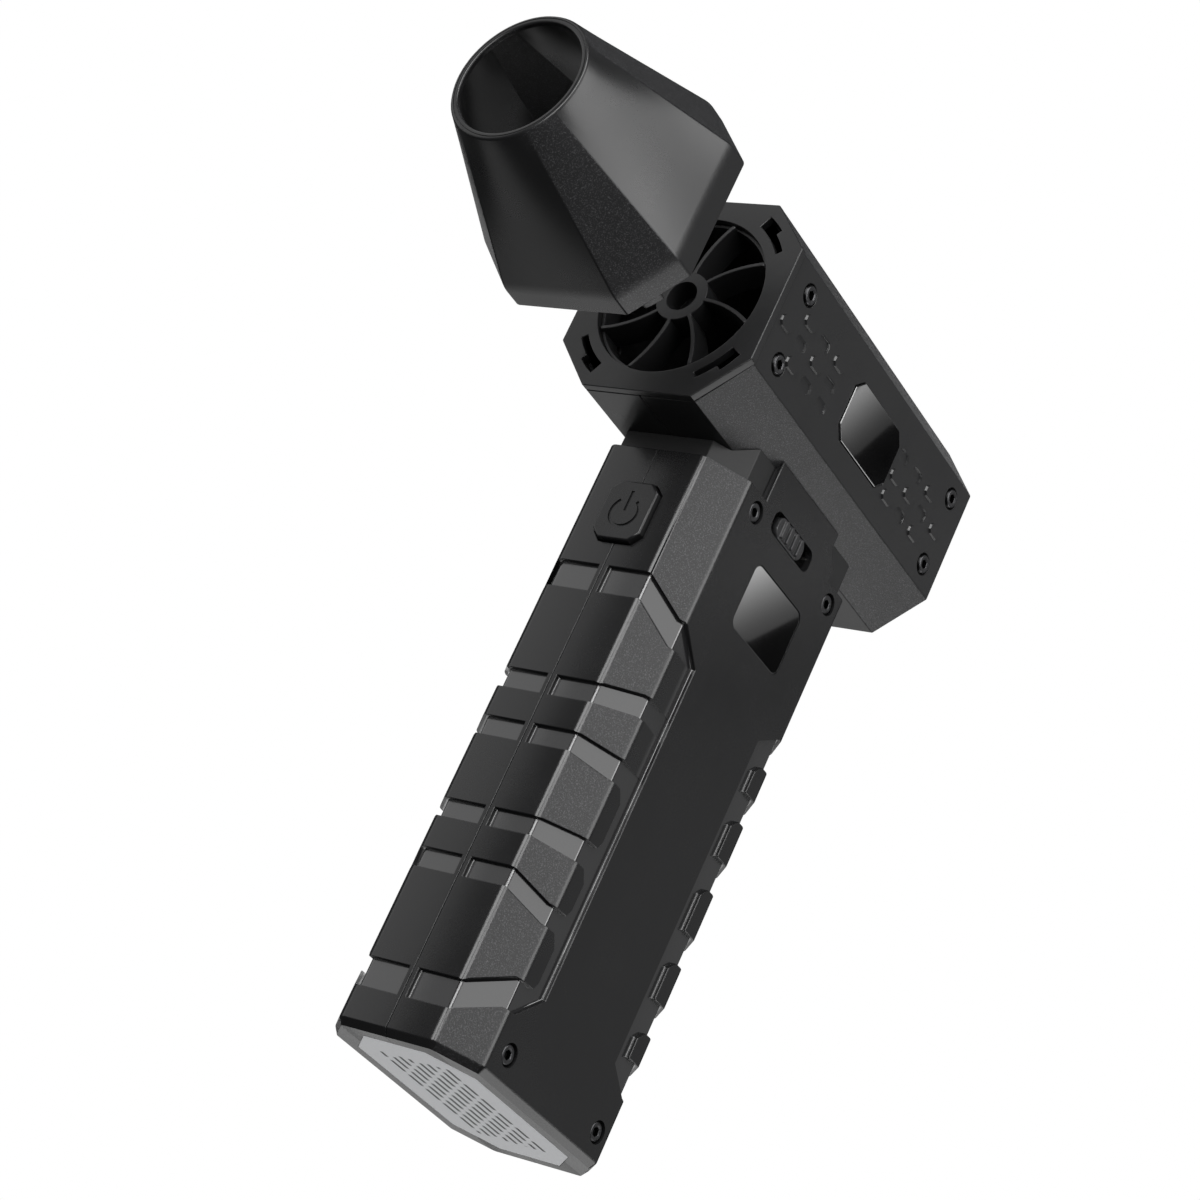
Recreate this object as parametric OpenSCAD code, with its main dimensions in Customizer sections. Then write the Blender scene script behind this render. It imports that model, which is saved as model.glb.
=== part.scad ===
// Handheld jet dryer blower: an octagonal fan head on an upright battery handle, with a
// plug-in nozzle drawn in front of the head. Millimetres, +Z up, -Y is the outlet side, +X is
// the side with the screws. The origin is the centre of the handle's flat base.

/* [Handle] */
// Width of the handle, side to side
handle_w = 39.6; // [39:0.2:48]
// Depth of the handle, front to back
handle_d = 67; // [64:0.5:81]
// Height of the handle
handle_h = 141; // [116:1:170]
// Width that each corner cut takes off the handle
corner_x = 7.5; // [6:0.1:9]
// Depth that each corner cut takes off the handle
corner_y = 9; // [7.5:0.1:11]
// Radius of the handle's upright edges
edge_r = 2.4; // [1.8:0.1:3]
// Wall of the handle shells
handle_wall = 2.2; // [1.8:0.1:2.7]
// Depth of the grip grooves
grip_depth = 1.1; // [0.6:0.1:1.3]
// Bevel round the foot of the handle
foot_bevel = 1.6; // [0.6:0.1:2]

/* [Head] */
// Width and height of the octagonal head
head_w = 50; // [49:0.5:60]
// Corner cut of the head
head_cut = 10.7; // [9:0.1:12.8]
// Length of the head, front to back
head_l = 97.4; // [88:0.2:117]
// Distance from the handle's axis to the front of the head
head_front = 48.9; // [44:0.1:58]
// Wall of the head shells
head_wall = 2.2; // [1.8:0.1:2.5]
// Height of the neck between handle and head
neck_h = 4.8; // [4:0.1:5.8]
// Thickness of the front bezel
bezel_t = 2; // [1.6:0.1:2.4]

/* [Duct and fan] */
// Inner radius of the air duct
duct_r = 20; // [17:0.1:20.3]
// Wall of the duct tube
duct_wall = 1.2; // [1:0.1:1.5]
// Radial gap between blade tips and duct
tip_gap = 0.5; // [0.4:0.1:1]
// Number of impeller blades
blades = 9; // [7:1:11]
// Length of the impeller
impeller_l = 12; // [10:0.5:14]
// Outer radius of the motor case
motor_r = 9; // [8.6:0.1:10]
// Length of the motor case
motor_l = 24; // [22:0.5:28]
// Radius of the motor shaft
shaft_r = 1.5; // [1.2:0.1:1.8]
// Number of outlet guide vanes
vanes = 8; // [6:1:9]
// Thickness of an outlet guide vane
vane_t = 0.9; // [0.7:0.1:1.2]

/* [Nozzle] */
// Distance that the nozzle is drawn out in front of the head
nozzle_gap = 29; // [24:0.5:36]
// Length of the nozzle
nozzle_l = 44.7; // [38:0.1:54]
// Length of the straight octagonal collar
collar_l = 6.1; // [5:0.1:8]
// Outer radius of the mouth
mouth_r = 15.6; // [13:0.1:18.7]
// Wall at the mouth
mouth_wall = 1.7; // [1.4:0.1:2]

/* [Battery] */
// Radius of a cell
cell_r = 9.1; // [7.6:0.1:9.4]
// Length of a cell
cell_l = 65; // [55:0.5:66]

/* [Controls] */
// Width of the power button
button_w = 12.4; // [10.4:0.1:13.4]
// Height of the power button
button_h = 14.4; // [12:0.1:15.4]
// Travel of the power button
button_travel = 0.8; // [0.5:0.1:1]
// Width of the display lens
display_w = 23; // [19.2:0.1:24]
// Height of the display lens
display_h = 16; // [13.4:0.1:16.4]
// Length of the slider slot
slot_l = 19; // [17:0.1:20.6]
// Length of the slider knob
knob_l = 12.4; // [10:0.1:12.6]

/* [Hidden] */
$fn = 64;

seam = 0.1;
fit_gap = 0.1;
slide_gap = 0.25;
running_gap = 0.04;
eps = 0.01;

half_w = handle_w / 2;
half_d = handle_d / 2;
half_head = head_w / 2;
head_z = handle_h + neck_h + half_head;
head_y0 = -head_front;
head_y1 = head_l - head_front;
floor_t = 2.6;
top_t = 2;
label_t = 0.3;
neck_inset = 1.8;

// Grip pattern: the bands run from the foot to just under the power button
grip_z0 = 9;
grip_z1 = handle_h - 29.8;
band_start = 1.2;
channel_y = half_d - 18.5;
block_end = half_d - 14.1;
edge_y = half_d - corner_y;
// each band: place along the grip, half height at the front, half height at the side,
// and how far it climbs from the front to the side
bands = [[0.03, 3.2, 3.3, 5.4], [0.29, 2.2, 2.2, -3.4], [0.405, 2.1, 2.6, 0.2],
    [0.6, 2.2, 2.6, -0.9], [0.714, 2.3, 2.5, 2.2], [0.97, 3.2, 3.3, -6.2]];
// each raised block on the back: place along the grip and half height
back_blocks = [[0.18, 3.4], [0.33, 4.8], [0.498, 5.5], [0.67, 4.9], [0.815, 3.7]];
back_edge = half_d - 17.4;
back_block_y = half_d - 13.6;
back_spine = 5;

button_z = handle_h - 16.6;
button_out = 1.5;
button_cut = 2.2;
display_y = 1;
display_z = handle_h - 19.5;
slot_y = -2.4;
slot_h = 5.5;
slot_round = 2;
slot_z = handle_h - 1.4;
knob_rest = -1;
tab_y0 = -16.6;
tab_y1 = 12.7;
socket_z = handle_h - 22;

screw_r = 1.25;
screw_head_r = 2.35;
screw_head_l = 2;
screw_sink = 2.3;
boss_r = 3.6;
handle_screw_at = [[-18.4, handle_h - 4.1], [19.8, handle_h - 4.1], [-18.5, 6.9], [20.2, 6.9]];
handle_screw_l = 24;
head_screw_at = [[head_y0 + 9.9, 9], [head_y0 + 9.9, -9], [head_y1 - 7.2, 9],
    [head_y1 - 7.2, -9]];

badge_w = 24.2;
badge_h = 15.2;
badge_y = 1.4;
badge_cut = 2.7;
badge_t = 1.1;

duct_out = duct_r + duct_wall;
duct_y0 = head_y0 + bezel_t + 2.4;
duct_y1 = head_y1 - 4.6;
grille_t = 2.4;
grille_y = head_y1 - 0.6;

motor_y1 = head_y1 - 34;
motor_y0 = motor_y1 - motor_l;
mount_wall = 1.2;
bearing_r = 3.6;
bearing_l = 3;
cap_l = 3.2;
impeller_y0 = motor_y1 + 1.2;
hub_r = motor_r + 0.6;
spinner_l = 11;
magnet_r = 4.2;
core_r0 = 5;
core_r1 = motor_r - 1.2;
guide_hub_r = 6.2;
guide_hole_r = 3.6;
guide_l = 7;

nozzle_y = head_y0 - nozzle_gap;
nozzle_wall = 1.9;
land_l = 5;
tongue_l = 5;
tongue_r0 = duct_out + 1.5;
tongue_t = 1.3;

cell_pitch = 2 * cell_r + 0.6;
cell_x = -4;
cell_z = 12.5;
tray_lip = 6;
tray_t = 1.6;
link_t = 0.3;
board_t = 1.6;
board_x = half_w - 9.8;
board_z0 = handle_h - 56;
lead_r = 0.5;
lead_x = board_x - board_t - lead_r - 0.1;
lead_y = motor_y0 + 8;

// Corner points of an octagon of half sizes a and b with corners cut by cx and cy, moved
// inwards by t on every side
function octagon(a, b, cx, cy, t = 0) =
    let (l = norm([cx, cy]), x = a - cx - t * (l - cx) / cy, y = b - cy - t * (l - cy) / cx)
    [[x, b - t], [-x, b - t], [t - a, y], [t - a, -y], [-x, t - b], [x, t - b], [a - t, -y],
        [a - t, y]];

function unit(v) = v / norm(v);

// A convex outline with its corners rounded by r, each in n steps
function rounded(p, r, n = 4) = [for (i = [0:len(p) - 1])
    let (c = p[i], u = unit(p[(i + len(p) - 1) % len(p)] - c), v = unit(p[(i + 1) % len(p)] - c),
        f = acos(u * v), m = c + unit(u + v) * r / sin(f / 2), s = c + u * r / tan(f / 2) - m,
        a = atan2(s[1], s[0]))
    each [for (k = [0:n]) m + r * [cos(a + k * (180 - f) / n), sin(a + k * (180 - f) / n)]]];

// The handle's outline, inset by t: its corners stay concentric while their radius lasts
function handle_points(t) =
    let (p = octagon(half_w, half_d, corner_x, corner_y, t))
    edge_r - t > 0.4 ? rounded(p, edge_r - t) : p;

function along_grip(f) = grip_z0 + f * (grip_z1 - grip_z0);
// Lower and upper edge of a band, at the front and on the side
function front_low(b) = along_grip(b[0]) - b[1];
function front_high(b) = along_grip(b[0]) + b[1];
function side_low(b) = along_grip(b[0]) + b[3] - b[2];
function side_high(b) = along_grip(b[0]) + b[3] + b[2];

module handle_section(t = 0) {
    polygon(handle_points(t));
}

// A prism of the handle's outline, inset by t
module handle_prism(z0, z1, t = 0) {
    translate([0, 0, z0]) linear_extrude(z1 - z0) handle_section(t);
}

// A prism of the head's outline, inset by t
module head_prism(y0, y1, t = 0) {
    translate([0, y1, head_z]) rotate([90, 0, 0]) linear_extrude(y1 - y0)
        polygon(octagon(half_head, half_head, head_cut, head_cut, t));
}

// A cylinder along Y, centred on the head's axis
module duct_cylinder(y0, y1, r) {
    translate([0, y1, head_z]) rotate([90, 0, 0]) cylinder(r = r, h = y1 - y0);
}

// A cylinder along X
module cross_cylinder(x0, x1, y, z, r) {
    translate([x0, y, z]) rotate([0, 90, 0]) cylinder(r = r, h = x1 - x0);
}

module box(x0, x1, y0, y1, z0, z1) {
    translate([x0, y0, z0]) cube([x1 - x0, y1 - y0, z1 - z0]);
}

module rounded_outline(w, h, r) {
    union() {
        square([w - 2 * r, h], center = true);
        square([w, h - 2 * r], center = true);
        for (x = [-1, 1], y = [-1, 1])
            translate([x * (w / 2 - r), y * (h / 2 - r)]) circle(r);
    }
}

// A plate with a YZ outline, from x0 to x1
module side_plate(x0, x1, y, z) {
    translate([x0, y, z]) rotate([90, 0, 90]) linear_extrude(x1 - x0) children();
}

// A plate with an XZ outline, from y0 to y1
module front_plate(y0, y1, x, z) {
    translate([x, y1, z]) rotate([90, 0, 0]) linear_extrude(y1 - y0) children();
}

// The outer skin of the handle, which every groove is cut from
module grip_skin() {
    difference() {
        handle_prism(1, handle_h + 1, -2);
        handle_prism(0, handle_h + 2, grip_depth);
    }
}

// Front and corner part of one band: level on the front, then sloping round the corner
module band_cut(b) {
    x0 = half_w - corner_x;
    x1 = half_w - grip_depth - 0.1;
    front_plate(-half_d - 2, -edge_y + 0.3, 0, 0)
        polygon([[band_start, front_low(b)], [x0, front_low(b)], [x1, side_low(b)],
            [half_w + 3, side_low(b)], [half_w + 3, side_high(b)], [x1, side_high(b)],
            [x0, front_high(b)], [band_start, front_high(b)]]);
}

module block_outline(z0, z1) {
    polygon([[-half_d, z0], [-block_end - 1, z0], [-block_end, z0 + 2], [-block_end, z1 - 2.6],
        [-block_end - 2.2, z1], [-half_d, z1]]);
}

// Groove behind the finger blocks, with the blocks left standing
module channel_cut() {
    first = bands[0];
    last = bands[5];
    y0 = -edge_y - 0.15;
    side_plate(half_w - 3, half_w + 3, 0, 0) difference() {
        polygon([[-channel_y, side_high(first)], [-edge_y + 2, side_low(first)],
            [y0, side_low(first)], [y0, side_high(last)], [-edge_y + 0.5, side_high(last)],
            [-channel_y, side_low(last) + 0.6]]);
        for (i = [0:4]) {
            z0 = side_high(bands[i]);
            z1 = side_low(bands[i + 1]);
            if (i < 3) block_outline(z0, z1);
            else polygon([[-half_d, z0], [-channel_y - 0.3, z0], [-channel_y - 0.3, z1],
                [-half_d, z1]]);
        }
    }
}

// The two upper blocks fall away towards the channel
module ramp_cut() {
    z0 = along_grip(bands[3][0] + 0.005);
    z1 = side_low(bands[5]) + 0.4;
    translate([0, 0, z0]) linear_extrude(z1 - z0)
        polygon([[half_w + 0.05, -edge_y + 0.5], [half_w - grip_depth + 0.05, -channel_y - 0.1],
            [half_w + 1, -channel_y - 0.1], [half_w + 1, -edge_y + 0.5]]);
}

module back_cut() {
    low = along_grip(0.07);
    high = along_grip(0.93);
    side_plate(back_spine, half_w + 3, 0, 0) difference() {
        polygon([[back_edge, low + 5], [edge_y - 1, low], [half_d + 3, low], [half_d + 3, high],
            [edge_y - 1, high], [back_edge, high - 4.5]]);
        for (b = back_blocks) {
            z = along_grip(b[0]);
            polygon([[back_block_y, z - b[1]], [half_d + 4, z - b[1]], [half_d + 4, z + b[1]],
                [back_block_y + 2, z + b[1]], [back_block_y, z + b[1] - 2]]);
        }
    }
}

module grip_cuts() {
    intersection() {
        grip_skin();
        union() {
            for (b = bands) band_cut(b);
            channel_cut();
            back_cut();
        }
    }
    ramp_cut();
}

// The handle's outline from the foot's bevelled edge up to its full size
module foot() {
    narrow = handle_points(foot_bevel * 0.7);
    full = handle_points(0);
    n = len(full);
    polyhedron(concat([for (p = narrow) [p[0], p[1], 0]],
            [for (p = full) [p[0], p[1], foot_bevel]]),
        concat([[for (i = [0:n - 1]) i]], [[for (i = [2 * n - 1:-1:n]) i]],
            [for (i = [0:n - 1]) [i, i + n, (i + 1) % n + n, (i + 1) % n]]));
}

module button_outline(grow = 0) {
    w = button_w / 2 + grow;
    h = button_h / 2 + grow;
    c = button_cut;
    polygon([[w, h - c], [w - c, h], [c - w, h], [-w, h - c], [-w, c - h], [c - w, -h],
        [w - c, -h], [w, c - h]]);
}

module label_outline(grow = 0) {
    a = half_w - 4.2 + grow;
    b = half_d - 4.6 + grow;
    polygon(octagon(a, b, corner_x, corner_y));
}

// Both halves of the handle as one closed casing, before it is split
module handle_casing() {
    difference() {
        union() {
            foot();
            handle_prism(foot_bevel, handle_h);
        }
        handle_prism(floor_t, handle_h - top_t, handle_wall);
        translate([0, 0, handle_h - 2 * top_t]) linear_extrude(3 * top_t)
            polygon(octagon(half_w - 5.2, half_d - 8, corner_x, corner_y));
        translate([0, 0, -eps]) linear_extrude(label_t) label_outline(fit_gap);
        grip_cuts();
        mirror([1, 0, 0]) grip_cuts();
        front_plate(-half_d - 1, -half_d + handle_wall + 1, 0, button_z)
            button_outline(slide_gap);
        front_plate(half_d - handle_wall - 1, half_d + 1, 0, socket_z)
            rounded_outline(9.6, 3.9, 1.9);
    }
}

// Half of a casing: side 1 keeps +X and side -1 keeps -X
module keep_half(side, z0, z1) {
    intersection() {
        children();
        translate([side * (50 + seam / 2) - 50, -150, z0]) cube([100, 300, z1 - z0]);
    }
}

// The tab of the right shell that runs up beside the neck to the head
module neck_tab() {
    difference() {
        side_plate(half_w - neck_inset + fit_gap, half_w, 0, 0)
            polygon([[tab_y0, handle_h - 3], [tab_y0, head_z - 10], [tab_y1, head_z - 10],
                [tab_y1, handle_h + 6], [tab_y1 + 3.8, handle_h + 3], [tab_y1 + 3.8, handle_h - 3]]);
        head_prism(head_y0, head_y1, -fit_gap);
    }
}

module handle_shell_right() {
    color([0.10, 0.10, 0.105]) difference() {
        union() {
            keep_half(1, -1, handle_h + 1) handle_casing();
            neck_tab();
            for (s = handle_screw_at) intersection() {
                cross_cylinder(seam / 2, half_w - 1, s[0], s[1], boss_r);
                handle_prism(1, handle_h, 1);
            }
        }
        for (s = handle_screw_at) {
            cross_cylinder(-1, half_w + 1, s[0], s[1], screw_r + fit_gap);
            cross_cylinder(half_w - screw_sink - 0.2, half_w + 1, s[0], s[1], screw_head_r + 0.25);
        }
        side_plate(half_w - handle_wall - 1, half_w + 1, display_y, display_z)
            rounded_outline(display_w - 3, display_h - 3, 1);
        side_plate(half_w - 1.3, half_w + 1, display_y, display_z)
            rounded_outline(display_w + 2 * fit_gap, display_h + 2 * fit_gap, 2.4);
        side_plate(half_w - 7, half_w + 1, slot_y, slot_z) rounded_outline(slot_l, slot_h, slot_round);
    }
}

module handle_shell_left() {
    color([0.10, 0.10, 0.105]) difference() {
        union() {
            keep_half(-1, -1, handle_h + 1) handle_casing();
            for (s = handle_screw_at) intersection() {
                cross_cylinder(1 - half_w, -seam / 2, s[0], s[1], boss_r);
                handle_prism(1, handle_h, 1);
            }
        }
        for (s = handle_screw_at)
            cross_cylinder(half_w - screw_sink - handle_screw_l, 1, s[0], s[1], screw_r + 0.02);
    }
}

module base_label() {
    color([0.75, 0.76, 0.78]) linear_extrude(label_t - 0.05) label_outline();
}

// Short hollow neck, shaped to the underside of the head
module neck_collar() {
    saddle_h = max(1, half_w - neck_inset - (half_head - head_cut));
    color([0.08, 0.08, 0.085]) difference() {
        handle_prism(handle_h + fit_gap, head_z - half_head + saddle_h, neck_inset);
        head_prism(head_y0, head_y1, -fit_gap / 2);
        translate([0, 0, handle_h - 1]) linear_extrude(head_w)
            polygon(octagon(half_w - 5.2, half_d - 8, corner_x, corner_y));
        side_plate(half_w - 7, half_w + 1, slot_y, slot_z)
            square([slot_l + 1, slot_h + 1], center = true);
    }
}

module badge_outline(grow = 0) {
    polygon(octagon(badge_w / 2 + grow, badge_h / 2 + grow, badge_cut, badge_cut));
}

// Both halves of the head as one casing
module head_casing() {
    difference() {
        head_prism(head_y0 + bezel_t + seam, head_y1);
        head_prism(head_y0, head_y1 - 2.2, head_wall);
        duct_cylinder(head_y1 - 5, head_y1 + 1, duct_out + 0.8);
        translate([0, 0, handle_h]) linear_extrude(half_head)
            polygon(octagon(half_w - 7, half_d - 12, corner_x, corner_y));
    }
}

module head_screw_holes(side) {
    for (s = head_screw_at) mirror([side < 0 ? 1 : 0, 0, 0]) {
        cross_cylinder(half_head - 6, half_head + 1, s[0], head_z + s[1], screw_r + fit_gap);
        cross_cylinder(half_head - 1.5, half_head + 1, s[0], head_z + s[1], screw_head_r + 0.25);
    }
}

module head_shell_right() {
    color([0.12, 0.12, 0.125]) difference() {
        keep_half(1, handle_h, head_z + head_w) head_casing();
        head_screw_holes(1);
        side_plate(half_head - badge_t, half_head + 1, badge_y, head_z) badge_outline(fit_gap);
    }
}

module head_shell_left() {
    color([0.12, 0.12, 0.125]) difference() {
        keep_half(-1, handle_h, head_z + head_w) head_casing();
        head_screw_holes(-1);
    }
}

module badge_lens() {
    color([0.02, 0.02, 0.025])
        side_plate(half_head - badge_t + 0.05, half_head - 0.1, badge_y, head_z) badge_outline();
}

// A wedge-shaped sector of the XZ plane between angles a0 and a1
module sector(a0, a1, r) {
    polygon([[0, 0], [r * cos(a0), r * sin(a0)], [r * cos((a0 + a1) / 2), r * sin((a0 + a1) / 2)],
        [r * cos(a1), r * sin(a1)]]);
}

module arc_band(r0, r1, a0, a1) {
    intersection() {
        difference() {
            circle(r1);
            circle(r0);
        }
        sector(a0, a1, 2 * r1);
    }
}

// One bayonet slot: a narrow tail and a wider way in
module bayonet_slot() {
    union() {
        arc_band(tongue_r0 - 0.15, tongue_r0 + tongue_t + 0.15, -12, 13);
        arc_band(tongue_r0 - 0.15, tongue_r0 + 2.9, 1, 13);
    }
}

module front_bezel() {
    color([0.09, 0.09, 0.095]) difference() {
        union() {
            head_prism(head_y0, head_y0 + bezel_t);
            difference() {
                head_prism(head_y0 + bezel_t - eps, head_y0 + bezel_t + 2, head_wall + fit_gap);
                head_prism(head_y0, head_y0 + bezel_t + 3, head_wall + 1);
            }
        }
        duct_cylinder(head_y0 - 1, head_y0 + bezel_t + 3, duct_r);
        for (a = [45:90:315])
            front_plate(head_y0 - 1, head_y0 + bezel_t + 1, 0, head_z) rotate(a) bayonet_slot();
    }
}

// One curved vane, an arc from the hub to the duct wall that leans back as it goes out
module vane_outline() {
    reach = duct_r - guide_hub_r + 1.4;
    bend_r = 26;
    translate([guide_hub_r - 0.6, 0]) intersection() {
        translate([0, -bend_r]) difference() {
            circle(bend_r + vane_t / 2, $fn = 128);
            circle(bend_r - vane_t / 2, $fn = 128);
        }
        translate([0, -reach]) square([reach + 1, reach + 5]);
    }
}

// Front guide: hub ring, curved vanes and a thin outer ring inside the bezel
module outlet_guide() {
    y0 = head_y0 + 0.4;
    ring_t = 0.8;
    color([0.11, 0.11, 0.115]) difference() {
        union() {
            duct_cylinder(y0, y0 + guide_l, guide_hub_r);
            intersection() {
                front_plate(y0, y0 + guide_l, 0, head_z)
                    for (i = [0:vanes - 1]) rotate(41.5 + i * 360 / vanes) vane_outline();
                duct_cylinder(y0 - 1, y0 + guide_l + 1, duct_r - ring_t / 2);
            }
            difference() {
                duct_cylinder(y0 + 1.2, y0 + guide_l, duct_r - 0.05);
                duct_cylinder(y0, y0 + guide_l + 1, duct_r - ring_t);
            }
        }
        duct_cylinder(y0 - 1, y0 + guide_l - 1.5, guide_hole_r);
    }
}

module duct_tube() {
    color([0.14, 0.14, 0.145]) difference() {
        union() {
            duct_cylinder(duct_y0, duct_y1, duct_out);
            for (s = head_screw_at, side = [-1, 1]) mirror([side < 0 ? 1 : 0, 0, 0])
                cross_cylinder(duct_r - 2, half_head - head_wall - fit_gap, s[0], head_z + s[1],
                    2.6);
        }
        duct_cylinder(duct_y0 - 1, duct_y1 + 1, duct_r);
        for (s = head_screw_at, side = [-1, 1]) mirror([side < 0 ? 1 : 0, 0, 0])
            cross_cylinder(duct_r - 3, half_head, s[0], head_z + s[1], screw_r + 0.02);
        translate([lead_x, lead_y, head_z - duct_out - 1]) cylinder(r = 2.6, h = 8);
    }
}

// Air inlet at the back: rings and spokes
module rear_grille() {
    y0 = grille_y - grille_t;
    ring_w = 1.1;
    color([0.10, 0.10, 0.105]) union() {
        difference() {
            duct_cylinder(y0 - 1.4, grille_y, duct_out + 0.7);
            duct_cylinder(y0 - 2, grille_y + 1, duct_r);
        }
        intersection() {
            duct_cylinder(y0, grille_y, duct_r + 0.3);
            union() {
                for (r = [7:3.2:duct_r - 1.5]) difference() {
                    duct_cylinder(y0, grille_y, r + ring_w);
                    duct_cylinder(y0 - 1, grille_y + 1, r);
                }
                duct_cylinder(y0, grille_y, 4.4);
                for (a = [0:45:315]) front_plate(y0, grille_y, 0, head_z) rotate(a)
                    translate([3.5, -0.6]) square([duct_r, 1.2]);
            }
        }
    }
}

// Hub sleeve that holds the motor, on straight struts to a ring against the duct
module motor_mount() {
    r0 = motor_r + 0.05;
    color([0.15, 0.15, 0.155]) difference() {
        union() {
            duct_cylinder(motor_y0 + 2, motor_y1 - 2, motor_r + mount_wall);
            difference() {
                duct_cylinder(motor_y0 + 2, motor_y0 + 14, duct_r - 0.05);
                duct_cylinder(motor_y0 + 1, motor_y0 + 15, duct_r - 1);
            }
            front_plate(motor_y0 + 3, motor_y0 + 13, 0, head_z) for (i = [0:6])
                rotate(i * 360 / 7 + 20) translate([motor_r + 0.5, -0.6])
                    square([duct_r - motor_r - 1, 1.2]);
        }
        duct_cylinder(motor_y0 - 1, motor_y1 + 1, r0);
        translate([lead_x, lead_y, head_z - duct_out - 1]) cylinder(r = 1.9, h = duct_out - 3);
    }
}

module motor_case() {
    color([0.62, 0.62, 0.64]) difference() {
        duct_cylinder(motor_y0, motor_y1 - cap_l, motor_r);
        duct_cylinder(motor_y0 + 1.5, motor_y1, motor_r - 1);
        duct_cylinder(motor_y0 - 1, motor_y0 + 2, shaft_r + 1);
        translate([5.5, motor_y0 + 8, head_z - motor_r - 1]) cylinder(r = 1.4, h = 4);
    }
    color([0.62, 0.62, 0.64]) difference() {
        duct_cylinder(motor_y0 + 1.5 - eps, motor_y0 + 1.5 + bearing_l, bearing_r + 1);
        duct_cylinder(motor_y0 + 1, motor_y1, bearing_r + 0.02);
    }
}

module motor_end_cap() {
    y0 = motor_y1 - cap_l + 0.05;
    color([0.55, 0.55, 0.57]) difference() {
        union() {
            duct_cylinder(y0, motor_y1, motor_r);
            duct_cylinder(y0 - 1.5, y0 + eps, motor_r - 1.05);
        }
        duct_cylinder(y0 - 2, y0 + bearing_l - 1.2, bearing_r + 0.02);
        duct_cylinder(y0 - 3, motor_y1 + 1, shaft_r + 1);
    }
}

core_y0 = motor_y0 + 1.5 + bearing_l + 1.4;
core_y1 = motor_y1 - cap_l - 3.4;

module stator_core() {
    color([0.45, 0.45, 0.47]) difference() {
        duct_cylinder(core_y0 + 1.5, core_y1 - 1.5, core_r1);
        duct_cylinder(core_y0, core_y1, core_r0);
        front_plate(core_y0, core_y1, 0, head_z) for (i = [0:5])
            rotate(i * 60 + 30) translate([core_r0 + 1, -0.7]) square([core_r1 - core_r0 - 2, 1.4]);
    }
}

// End turns of the coils, at both ends of the core
module motor_windings() {
    color([0.72, 0.38, 0.16]) for (y = [core_y0, core_y1 - 1.45]) difference() {
        duct_cylinder(y, y + 1.45, core_r1 - 0.3);
        duct_cylinder(y - 1, y + 3, core_r0 + 0.2);
    }
}

module bearing(y0) {
    color([0.7, 0.7, 0.72]) difference() {
        duct_cylinder(y0, y0 + bearing_l - 0.1, bearing_r);
        duct_cylinder(y0 - 1, y0 + bearing_l + 1, shaft_r + running_gap);
    }
}

module front_bearing() {
    bearing(motor_y0 + 1.55);
}

module rear_bearing() {
    bearing(motor_y1 - cap_l - 1.1);
}

module motor_shaft() {
    color([0.75, 0.75, 0.77])
        duct_cylinder(motor_y0 + 1, impeller_y0 + impeller_l + 2, shaft_r);
}

module rotor_magnet() {
    color([0.35, 0.35, 0.37]) difference() {
        duct_cylinder(core_y0 + 1.5, core_y1 - 1.5, magnet_r);
        duct_cylinder(core_y0, core_y1, shaft_r + 0.01);
    }
}

module impeller() {
    blade_t = 1.1;
    color([0.16, 0.16, 0.165]) difference() {
        union() {
            duct_cylinder(impeller_y0, impeller_y0 + impeller_l, hub_r);
            intersection() {
                difference() {
                    duct_cylinder(impeller_y0, impeller_y0 + impeller_l, duct_r - tip_gap);
                    duct_cylinder(impeller_y0 - 1, impeller_y0 + impeller_l + 1, hub_r - 0.6);
                }
                for (i = [0:blades - 1])
                    translate([0, impeller_y0 + impeller_l / 2, head_z])
                        rotate([0, i * 360 / blades, 0]) translate([hub_r - 1, 0, 0])
                            rotate([40, 0, 0]) translate([0, -impeller_l, -blade_t / 2])
                                cube([duct_r, 2 * impeller_l, blade_t]);
            }
        }
        duct_cylinder(impeller_y0 - 1, impeller_y0 + impeller_l + 1, shaft_r + 0.01);
        duct_cylinder(impeller_y0 - 1, impeller_y0 + 3, hub_r - 3);
    }
}

// Rounded nose on the inlet side of the impeller
module spinner() {
    y0 = impeller_y0 + impeller_l + 0.05;
    color([0.18, 0.18, 0.185]) translate([0, y0, head_z]) rotate([-90, 0, 0]) difference() {
        rotate_extrude() intersection() {
            scale([hub_r, hub_r]) circle(1);
            square([hub_r, hub_r]);
        }
        translate([0, 0, -1]) cylinder(r = shaft_r + 0.02, h = 3.2);
    }
}

// Control board, upright behind the display
module main_board() {
    color([0.06, 0.25, 0.12])
        box(board_x - board_t, board_x, -20, 20, board_z0, handle_h - 11);
}

module motor_driver() {
    x = board_x - board_t - 0.05;
    color([0.08, 0.08, 0.08]) for (z = [board_z0 + 6, board_z0 + 16, board_z0 + 26])
        for (y = [-10, 2]) box(x - 2.4, x, y, y + 8, z, z + 6.5);
}

module cell(index) {
    color([0.16, 0.33, 0.55])
        translate([cell_x, (index - 1) * cell_pitch, cell_z]) cylinder(r = cell_r, h = cell_l);
}

module cell_front() {
    cell(0);
}

module cell_middle() {
    cell(1);
}

module cell_rear() {
    cell(2);
}

// Plastic tray round one end of the cells, from z0 to z1, with a lip of wall around them
module cell_frame(z0, z1, floor_z0, floor_z1) {
    wall = 1.2;
    a = cell_r + wall;
    difference() {
        translate([cell_x, 0, z0]) linear_extrude(z1 - z0) union() {
            square([2 * a, 2 * cell_pitch], center = true);
            for (s = [-1, 1]) translate([0, s * cell_pitch]) circle(a);
        }
        for (i = [-1:1]) translate([cell_x, i * cell_pitch, 0]) {
            translate([0, 0, floor_z0]) cylinder(r = cell_r + fit_gap, h = floor_z1 - floor_z0);
            translate([0, 0, z0 - 1]) cylinder(r = cell_r - 3, h = z1 - z0 + 2);
        }
    }
}

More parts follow.
